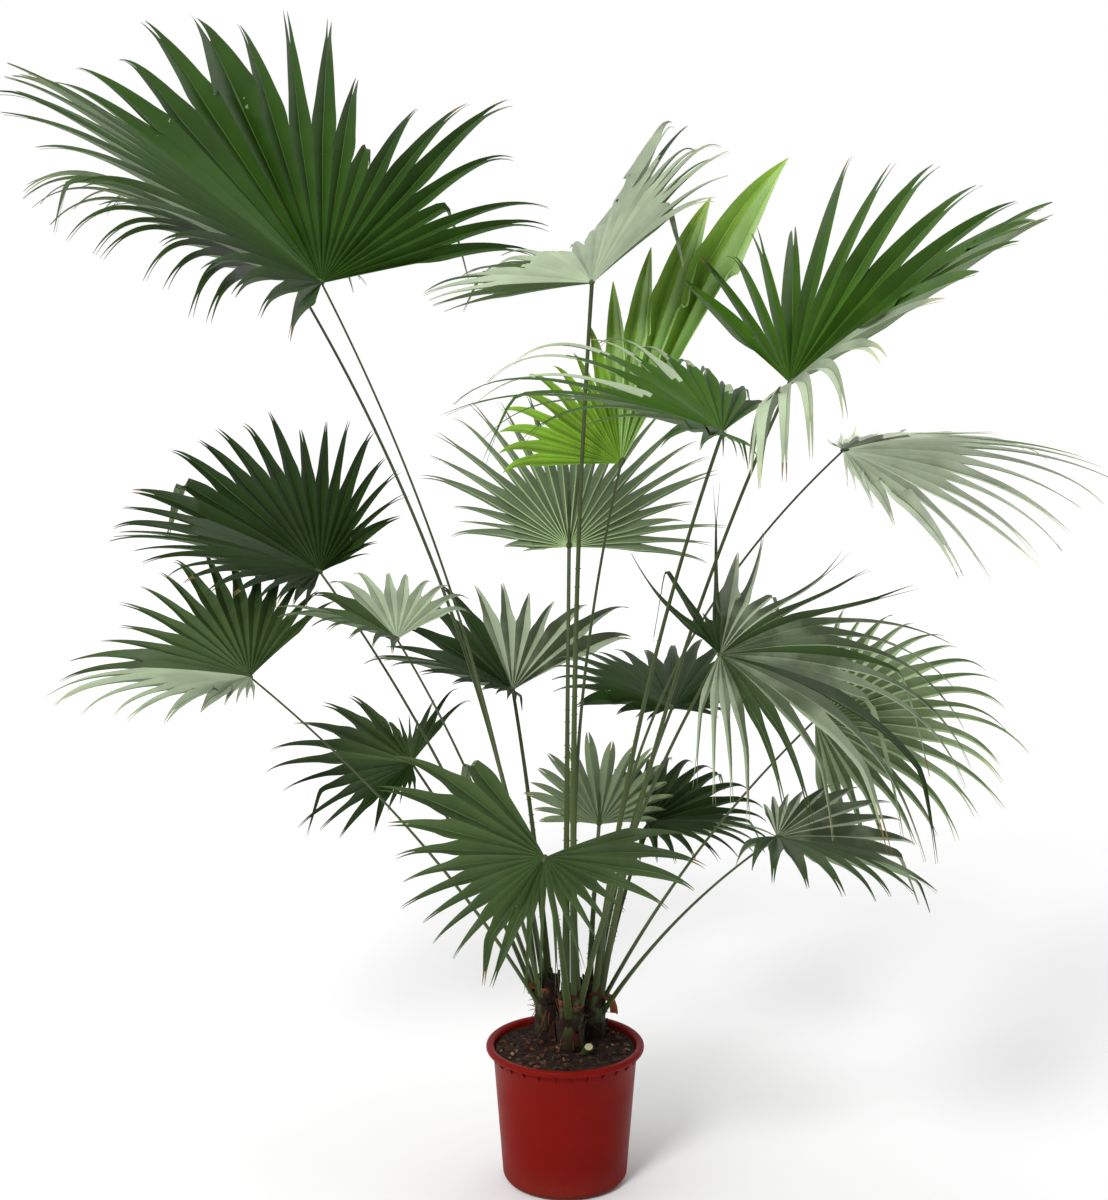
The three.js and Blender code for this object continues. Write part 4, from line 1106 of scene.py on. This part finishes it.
def build_frond(frond, limbs, blades):
    """One pleated fan: a sheet of creased strips, joined near the hub and free towards their tips."""
    leaf = bpy.context.scene.palm_leaf
    rng = np.random.default_rng(frond.number * FROND_SEED)
    joined = np.linspace(HUB_HOLE, 1, leaf.joined_rows + 1) ** 0.9
    shares = np.linspace(0, 1, leaf.free_rows + 1)
    places = np.array(CREASES[frond.folds])[:, 0]
    ribs = np.flatnonzero(np.abs(np.diff(places)) < RIB_SPAN)
    lines = fan_lines(frond, rng)
    near, across = joined_part(frond, lines, joined)
    far, narrow, fork = free_part(frond, lines, across, shares, rng, limbs + blades)
    # The first free rows keep some of the shape of the joined part's last row.
    ease = (np.maximum(0, 1 - shares / EASE_LENGTH) ** 2)[None, :, None, None]
    far = far + (near[:, -1:] - far[:, :1]) * ease
    grid = np.concatenate([near, far[:, 1:]], axis=1)

    # Neighbours share their seam where they are joined, and a tip is open between its two points.
    number, total, columns = grid.shape[:3]
    index = np.arange(grid[..., 0].size).reshape(number, total, columns)
    index[:-1, :len(joined), -1] = index[1:, :len(joined), 0]
    cell = np.stack([index[:, :-1, :-1], index[:, :-1, 1:], index[:, 1:, 1:], index[:, 1:, :-1]], -1)
    kept = np.ones(cell.shape[:3], bool)
    if frond.folds == 1:
        for j in range(number):
            kept[j, leaf.joined_rows + fork[j]:, (columns - 1) // 2] = False
    kept = kept.ravel()
    used, faces = np.unique(cell.reshape(-1, 4)[kept], return_inverse=True)
    faces = faces.reshape(-1, 4)

    # The blade gets thinner towards the tips, and the ribs stand out below it.
    thin = np.concatenate([np.ones(len(joined)), np.maximum(THINNEST, narrow[1:])]) * leaf.thickness / 2
    thin = np.broadcast_to(thin[:, None], (number, total, columns)).reshape(-1)[used]
    ridge = np.where(np.isin(np.arange(columns), [*ribs, *(ribs + 1)]), RIB_HEIGHT, 1)
    ridge = np.broadcast_to(ridge, (number, total, columns)).reshape(-1)[used]
    maps = fan_maps(number, places, ribs, np.concatenate([joined * 0.5, 0.5 + shares[1:] * 0.5]))
    above, below = fan_slots(frond, cell.shape[:3], ribs, rng)
    skin, faces, slots, maps = thickened(grid.reshape(-1, 3)[used], faces, thin, thin * ridge,
                                         {name: rows[kept] for name, rows in maps.items()},
                                         above.ravel()[kept], below.ravel()[kept])
    blades.append(BVHTree.FromPolygons(skin.tolist(), faces.tolist()))
    shell = Shell()
    shell.add(skin, faces, slots, **maps)
    kind = "young_" if frond.tint == "young" else ""
    materials = [
        upper_finish(leaf, frond.tint),
        made(f"leaf_{kind}below", leaf_finish, getattr(leaf, f"{kind}below"), 0.6),
        # A rib takes its frond's tint, and with it the painted light, shade and sheen that tints carry.
        made(f"rib_{frond.tint}", rib_finish, np.array(getattr(leaf, frond.tint)) + np.array(leaf.rib) * 0.1),
        made("leaf_dry", dry_finish, leaf.dry),
    ]
    materials += [upper_finish(leaf, tint) for tint, *_ in frond.others]
    shell.piece(f"frond_{frond.name}", materials, f"{kind}blade", [f"blade_{frond.name}"], 28)


# ---------- operators ----------

# The lip's section, from the rim's radius and from the underside of the lip.
LIP = ((-0.0115, 0), (-0.0030, 0.0003), (-0.0012, 0.0012), (-0.0003, 0.0030), (0, 0.0055), (-0.0004, 0.0078),
       (-0.0015, 0.0095), (-0.0030, 0.0106), (-0.0050, 0.0110), (-0.0085, 0.0108), (-0.0112, 0.0100),
       (-0.0132, 0.0080), (-0.0142, 0.0040))


class PALM_OT_pot(bpy.types.Operator):
    """Build the nursery pot with its rolled lip and the small ribs under it"""
    bl_idname = "palm.pot"
    bl_label = "Pot"

    def execute(self, context):
        pot = context.scene.palm_pot
        shell = Shell()
        turns = np.radians(np.linspace(0, 90, 9))
        foot = [(pot.foot_radius + (pot.bottom_radius - pot.foot_radius) * math.sin(a),
                 pot.foot_rise * (1 - math.cos(a))) for a in turns]
        under = pot.height - pot.lip_height
        wall = [(mix(pot.bottom_radius, pot.top_radius, part), mix(pot.foot_rise, under, part))
                for part in (0.35, 0.72)]
        inside = pot.bottom_radius - pot.wall
        profile = [(0, 0), (pot.foot_radius - 0.012, 0), (pot.foot_radius - 0.0015, 0), *foot, *wall,
                   (pot.top_radius - 0.0010, under - 0.0150), (pot.top_radius - 0.0004, under - 0.0142),
                   (pot.top_radius, under - 0.0010),
                   *[(pot.rim_radius + x, under + z) for x, z in LIP],
                   (pot.top_radius - pot.wall, under - 0.0015), (inside + 0.006, 0.100),
                   (inside, pot.foot_rise + 0.001), (inside - 0.004, pot.foot_rise * 0.55),
                   (pot.foot_radius - pot.wall, pot.floor), (0, pot.floor)]
        points, quads, ends = lathe(profile, POT_SIDES)
        shell.add(points, quads)
        shell.cover(ends)
        for k in range(pot.ribs):
            out = flat(360 * (k + 0.37) / pot.ribs)
            side = np.cross(UP, out) * 0.0007
            corners = [(pot.top_radius - 0.0008, -0.0125), (pot.top_radius + 0.0005, -0.0125),
                       (pot.rim_radius - 0.0022, 0.0008), (pot.top_radius - 0.0008, 0.0008)]
            ring = [out * radius + UP * (under + height) for radius, height in corners]
            points = [p - side for p in ring] + [p + side for p in ring]
            shell.add(points, [(0, 1, 2, 3), (7, 6, 5, 4), (1, 0, 4, 5), (2, 1, 5, 6), (3, 2, 6, 7), (0, 3, 7, 4)])
        shell.piece("nursery_pot", [made("red_plastic", plastic_finish, pot.plastic)], "pot_plastic", ["pot"], 40)
        return {"FINISHED"}


PALE_BARK, RUST_BARK = (0.20, 0.13, 0.07), (0.10, 0.034, 0.014)


class PALM_OT_soil(bpy.types.Operator):
    """Build the lumpy soil and the bits of bark and fibre on it"""
    bl_idname = "palm.soil"
    bl_label = "Soil"

    def execute(self, context):
        soil, pot = context.scene.palm_soil, context.scene.palm_pot
        rng = np.random.default_rng(SOIL_SEED)

        def wall(height):
            part = (height - pot.foot_rise) / (pot.height - pot.foot_rise)
            return mix(pot.bottom_radius, pot.top_radius, part) - pot.wall - 0.0009

        edge = wall(soil.edge_level)
        waves = [(f, *rng.uniform(0, 7, 2)) for f in (70, 110, 160, 230, 340, 480, 640)]
        norm = sum(1 / f for f, _, _ in waves) * 0.55

        def surface(x, y):
            radius = np.hypot(x, y)
            outer = np.clip((radius - soil.flat_radius) / (edge - soil.flat_radius), 0, 1)
            lumps = sum(np.sin(x * f + p) * np.sin(y * f * 1.13 + q) / f for f, p, q in waves) / norm
            return (mix(soil.level, soil.edge_level, outer)
                    + lumps * soil.roughness * np.clip((edge - radius) / 0.01, 0, 1))

        bottom = pot.floor + 0.0004
        profile = [(0, bottom), (pot.foot_radius - pot.wall - 0.001, bottom), (wall(0.017) - 0.0005, 0.017),
                   (wall(0.12), 0.12), (edge, soil.edge_level),
                   *[(r, soil.level) for r in np.linspace(edge * 0.985, 0.003, 38)], (0, soil.level)]
        points, quads, ends = lathe(profile, SOIL_SIDES)
        top = points[:, 2] > min(soil.level, soil.edge_level) - 0.001
        points[top, 2] = surface(points[top, 0], points[top, 1])
        shell = Shell()
        shell.add(points, quads)
        shell.cover(ends)
        shell.piece("soil_mix", [made("soil_peat", peat_finish, soil.peat)], "soil", ["soil"], 60)

        def spot():
            radius, angle = edge * 0.96 * math.sqrt(rng.random()), rng.uniform(0, 2 * math.pi)
            x, y = radius * math.cos(angle), radius * math.sin(angle)
            return np.array([x, y, float(surface(x, y))])

        shell = Shell()
        for k in range(soil.chips):
            long = rng.uniform(0.0018, 0.0065) * (1.7 if rng.random() < 0.12 else 1)
            turn = flat(rng.uniform(0, 360))
            tilt = unit(turn + UP * rng.uniform(-0.35, 0.35))
            side = unit(np.cross(UP, tilt))
            over = np.cross(tilt, side)
            angles = circle(CHIP_SIDES) + rng.uniform(0, 1)
            outline = rng.uniform(0.65, 1.1, CHIP_SIDES)
            ring = ((np.cos(angles) * outline)[:, None] * tilt * long
                    + (np.sin(angles) * outline)[:, None] * side * long * rng.uniform(0.4, 0.8))
            thick = over * long * rng.uniform(0.14, 0.4)
            rings = np.stack([ring * 0.8 - thick, ring * 1.02, ring * 0.72 + thick])
            add_tube(shell, spot() + thick * 0.5 + rings, 1 if k % 9 == 0 else 2 if k % 4 == 0 else 0)
        for _ in range(soil.fibres):
            turn, bend = rng.uniform(0, 360), rng.uniform(-50, 50)
            steps = np.stack([flat(turn + bend * s) for s in np.linspace(0, 1, 7)]) * rng.uniform(0.001, 0.0042)
            path = spot() + np.cumsum(steps, axis=0)
            path = path[np.hypot(path[:, 0], path[:, 1]) < edge - 0.002]
            if len(path) < 4:
                continue
            path[:, 2] = surface(path[:, 0], path[:, 1]) + rng.uniform(0, 0.0015)
            add_strand(shell, path, rng.uniform(0.0002, 0.0005), 2 * int(rng.random() < 0.6))
        shell.piece("soil_bits", [made("bark_bits", bark_finish, soil.bark),
                                  made("pale_bits", bark_finish, PALE_BARK),
                                  made("rust_bits", bark_finish, RUST_BARK)], "soil", (), 30)
        return {"FINISHED"}


# The stump's rings, by the part of its height and by their size: up the rind and then in over the cut face.
STUMP_RINGS = ((0, 1.05), (0.15, 1), (0.4, 0.99), (0.7, 1), (0.93, 1), (0.985, 0.96), (1, 0.88), (0.97, 0.6),
               (0.975, 0.25))


class PALM_OT_stems(bpy.types.Operator):
    """Build the fibrous stems, the loose strands round their crowns and the cut stump"""
    bl_idname = "palm.stems"
    bl_label = "Stems"

    def execute(self, context):
        settings = context.scene.palm_stem
        fibre = made("trunk_fibre", fibre_finish, settings.fibre)
        turn = circle(TRUNK_SIDES)
        for number, (name, stem) in enumerate(STEMS.items()):
            rng = np.random.default_rng(TRUNK_SEED + number)
            parts = np.linspace(0, 1, TRUNK_ROWS)
            radius = np.interp(parts, STEM_LEVELS, stem.radii)[:, None]
            ridges = sum(np.sin(turn * k + rng.uniform(0, 7) + parts[:, None] * rng.uniform(-2, 2))
                         for k in (7, 12, 17, 23)) / 4
            scars = (parts[:, None] * 7 + turn / (2 * math.pi) * 2) % 1
            radius = radius - 0.0006 + settings.relief * (ridges * 0.7 + scars * 0.9 - 0.4)
            radius = radius * np.sqrt(np.clip(1 - ((parts - 0.84) / 0.16).clip(0) ** 2, 0.03, 1))[:, None]
            centre = np.stack([stem_axis(stem, part) for part in parts])[:, None]
            rings = centre + radius[..., None] * np.stack([np.cos(turn), np.sin(turn), turn * 0], -1)
            shell = Shell()
            add_tube(shell, rings)
            shell.piece(f"trunk_{name}", [fibre], "stem_fibre", [f"stem_{name}"], 50)
        self.add_fibres(settings)
        self.add_stump(context.scene)
        return {"FINISHED"}

    def add_fibres(self, settings):
        """The old leaf bases that clasp the stems, and loose strands between them."""
        rng = np.random.default_rng(FIBRE_SEED)
        shell = Shell()
        for stem in STEMS.values():
            for k in range(settings.boots):
                add_boot(shell, stem, k, settings, rng)
        for k in range(settings.strands):
            stem = list(STEMS.values())[k % len(STEMS)]
            heading = rng.uniform(0, 360)
            low = rng.uniform(0.1, 0.95)
            out = flat(heading)
            start = stem_axis(stem, low) + out * (np.interp(low, STEM_LEVELS, stem.radii) + 0.001)
            upward, outward, sideways = rng.uniform(-0.6, 1), rng.uniform(0.05, 0.7), rng.normal(0, 0.4)
            lean = unit(UP * upward + out * outward + flat(heading + 90) * sideways)
            size = rng.uniform(0.012, 0.038)
            steps = np.linspace(0, 1, 8)[:, None]
            path = start + lean * size * steps + (out * 0.3 - UP) * size * 0.55 * steps ** 2 * rng.uniform(0, 1)
            add_strand(shell, path, rng.uniform(0.0003, 0.0008), int(rng.random() < 0.35))
        shell.piece("crown_fibres", [made("strand_brown", fibre_finish, shaded(settings.boot, 1.7)),
                                     made("strand_rust", fibre_finish, settings.paper),
                                     made("boot_brown", paper_finish, settings.boot),
                                     made("boot_rust", paper_finish, shaded(settings.paper, 0.36))],
                    "stem_fibre", (), 50)

    def add_stump(self, scene):
        """The stump of a leaf that was cut off, on the soil."""
        settings, stalk = scene.palm_stem, scene.palm_stalk
        rng = np.random.default_rng(STUMP_SEED)
        turn = circle(STUMP_SIDES)
        level = scene.palm_soil.level + CLEARANCE
        rings = []
        for part, grow in STUMP_RINGS:
            rough = 1 + 0.03 * np.sin(turn * 6 + 1) + 0.012 * rng.normal(size=STUMP_SIDES)
            radius = mix(0.0105, 0.0078, part) * grow * rough
            centre = np.array([0.036 + 0.004 * part, -0.016 - 0.009 * part, level + 0.015 * part])
            rings.append(centre + np.stack([np.cos(turn) * radius, np.sin(turn) * radius * 0.75,
                                            np.sin(turn) * radius * 0.6 * part], -1))
        shell = Shell()
        add_tube(shell, np.stack(rings), 0, np.linspace(0.1, 0.5, len(rings)))
        # The pith: the last two bands of quads, and the second of the two ends that follow them.
        bands = np.concatenate(shell.slots).reshape(-1, STUMP_SIDES)
        bands[[-4, -3, -1]] = 1
        shell.slots = [bands.ravel()]
        shell.piece("leaf_stump", [made("stalk_skin", stalk_finish, stalk.green, stalk.brown),
                                   made("cut_pith", pith_finish, settings.pith)], "cut_wood", ["cut_stump"], 40)


class PALM_OT_stalks(bpy.types.Operator):
    """Build the leaf stalks with their clasping bases, thorns, crests and ribs, joined for each stem"""
    bl_idname = "palm.stalks"
    bl_label = "Leaf stalks"

    def execute(self, context):
        settings = context.scene.palm_stalk
        skin = made("stalk_skin", stalk_finish, settings.green, settings.brown)
        for stem in STEMS:
            fronds = [frond for frond in FRONDS.values() if frond.stem == stem]
            shell = Shell()
            for frond in fronds:
                build_stalk(shell, frond, np.random.default_rng(frond.number))
            shell.piece(f"stalks_{stem}", [skin], "petiole", [f"petiole_{frond.name}" for frond in fronds], 50)
        return {"FINISHED"}


class PALM_OT_fronds(bpy.types.Operator):
    """Build the pleated fans, each cut clear of the limbs and of the fans before it"""
    bl_idname = "palm.fronds"
    bl_label = "Fans"

    def execute(self, context):
        trees = {}
        for name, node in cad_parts.items():
            if name.startswith(("petiole_", "stem_")) or name in ("pot", "soil", "cut_stump"):
                trees[name] = BVHTree.FromPolygons([tuple(v.co) for v in node.data.vertices],
                                                   [tuple(p.vertices) for p in node.data.polygons])
        blades = []
        for frond in FRONDS.values():
            limbs = [tree for node, tree in trees.items() if node != f"petiole_{frond.name}"]
            build_frond(frond, limbs, blades)
        return {"FINISHED"}


class PALM_OT_sheaths(bpy.types.Operator):
    """Build the torn papery sheaths that hang off the crowns"""
    bl_idname = "palm.sheaths"
    bl_label = "Sheaths"

    def execute(self, context):
        settings = context.scene.palm_stem
        paper = made("sheath_paper", paper_finish, settings.paper)
        for number, (name, sheath) in enumerate(SHEATHS.items()):
            rng = np.random.default_rng(SHEATH_SEED + number)
            stem = STEMS[sheath.stem]
            part = stem_part(stem, sheath.height)
            out, across = flat(sheath.heading), flat(sheath.heading + 90)
            root = stem_axis(stem, part) + out * (stem.radii[1] - 0.002)
            columns, rows = 11, 17
            x = np.linspace(-1, 1, columns)
            # Each strip is torn off at its own length.
            torn = np.repeat(rng.uniform(0.74, 1, 4), 3)[:columns] * rng.uniform(0.96, 1, columns)
            t = np.linspace(0, 1, rows)[:, None] * torn
            size = sheath.length
            curl = 0.006 * x ** 2 * (0.4 + t) * (1 + 0.4 * np.sin(t * 5 + number))
            wrinkles = 0.0012 * np.sin(x * 7 + t * 9 + number)
            stand = settings.sheath_flare * sheath.flare * np.sin(t * math.pi * 0.55) - curl + wrinkles
            rise = size * (sheath.lift * np.sin(t * math.pi * 0.9) - sheath.drop * t)
            waist = 1 - 0.1 * np.sin(t * 6 + number) ** 2
            half = settings.sheath_width / 2 * np.sin(math.pi * (0.24 + 0.74 * t)) * waist
            grid = root + out * stand[..., None] + UP * rise[..., None] + across * (x * half)[..., None]
            shell = Shell()
            add_sheet(shell, grid, np.stack([np.broadcast_to((x + 1) / 2, t.shape), t], -1), 0.0008)
            shell.piece(f"papery_{name}", [paper], "sheath", [f"sheath_{name}"], 40)
        return {"FINISHED"}


class PALM_OT_stage(bpy.types.Operator):
    """Set the floor, the soft lights and the camera"""
    bl_idname = "palm.stage"
    bl_label = "Stage"

    def execute(self, context):
        scene, settings = context.scene, context.scene.palm_stage
        half = settings.floor_size / 2
        mesh = bpy.data.meshes.new("floor")
        corners = [(-half, -half, 0), (half, -half, 0), (half, half, 0), (-half, half, 0)]
        mesh.from_pydata(corners, [], [(0, 1, 2, 3)])
        mesh.materials.append(made("floor_paint", floor_finish, settings.floor_paint, settings.glow))
        floor = bpy.data.objects.new("floor", mesh)
        floor.location.z = -CLEARANCE
        scene.collection.objects.link(floor)

        for name, place, aim, size, watts in (
            ("key_light", (-1.7, -3.4, 3.7), (0, 0, 1.0), 1.3, 170),
            ("top_light", (0.8, 1.4, 4.4), (0, 0, 1.0), 2.0, 30),
        ):
            light = bpy.data.lights.new(name, "AREA")
            light.shape, light.size, light.energy = "DISK", size, watts
            lamp = bpy.data.objects.new(name, light)
            lamp.location = place
            lamp.rotation_euler = (Vector(aim) - Vector(place)).to_track_quat("-Z", "Y").to_euler()
            scene.collection.objects.link(lamp)

        room = Finish("studio", "worlds", "Background", Color=(1, 1, 1))
        way = room.node("ShaderNodeTexCoord", output="Generated")
        lit = room.node("ShaderNodeVectorMath", {"operation": "DOT_PRODUCT"}, {0: way, 1: (-0.35, 0.8, 0.5)},
                        output="Value")
        strength = lit.between(-0.35, 0.55) * (settings.sky - settings.shade) + settings.shade
        # The room lights the plant from one side but is seen evenly pale behind it.
        seen = room.node("ShaderNodeLightPath", output="Is Camera Ray")
        room.feed(room.shader.inputs["Strength"], strength + seen * (settings.sky - strength))
        scene.world = room.material
        scene.view_settings.view_transform = "Standard"

        lens = bpy.data.cameras.new("camera")
        lens.lens, lens.sensor_width = settings.lens, 36
        camera = bpy.data.objects.new("camera", lens)
        camera.location = settings.camera_place
        camera.rotation_euler = (math.pi / 2 - settings.camera_pitch, 0, 0)
        scene.collection.objects.link(camera)
        scene.camera = camera
        return {"FINISHED"}


class PALM_PT_panel(bpy.types.Panel):
    """Settings and building steps of the potted fan palm"""
    bl_label = "Fan Palm"
    bl_idname = "PALM_PT_panel"
    bl_space_type = "VIEW_3D"
    bl_region_type = "UI"
    bl_category = "Fan Palm"

    def draw(self, context):
        for name, group in SETTINGS.items():
            box = self.layout.box()
            box.label(text=name.split("_")[1].title())
            for key in group.__annotations__:
                box.prop(getattr(context.scene, name), key)
        for step in STEPS:
            self.layout.operator(step.bl_idname)


STEPS = (PALM_OT_stage, PALM_OT_pot, PALM_OT_soil, PALM_OT_stems, PALM_OT_stalks, PALM_OT_fronds, PALM_OT_sheaths)


def register():
    for name, group in SETTINGS.items():
        bpy.utils.register_class(group)
        setattr(bpy.types.Scene, name, PointerProperty(type=group))
    for step in (*STEPS, PALM_PT_panel):
        bpy.utils.register_class(step)


def unregister():
    for step in (PALM_PT_panel, *reversed(STEPS)):
        bpy.utils.unregister_class(step)
    for name, group in reversed(SETTINGS.items()):
        delattr(bpy.types.Scene, name)
        bpy.utils.unregister_class(group)


def main():
    register()
    bpy.ops.palm.stage()
    bpy.ops.palm.pot()
    bpy.ops.palm.soil()
    bpy.ops.palm.stems()
    bpy.ops.palm.stalks()
    bpy.ops.palm.fronds()
    bpy.ops.palm.sheaths()
    bpy.context.view_layer.update()


if __name__ == "__main__":
    main()
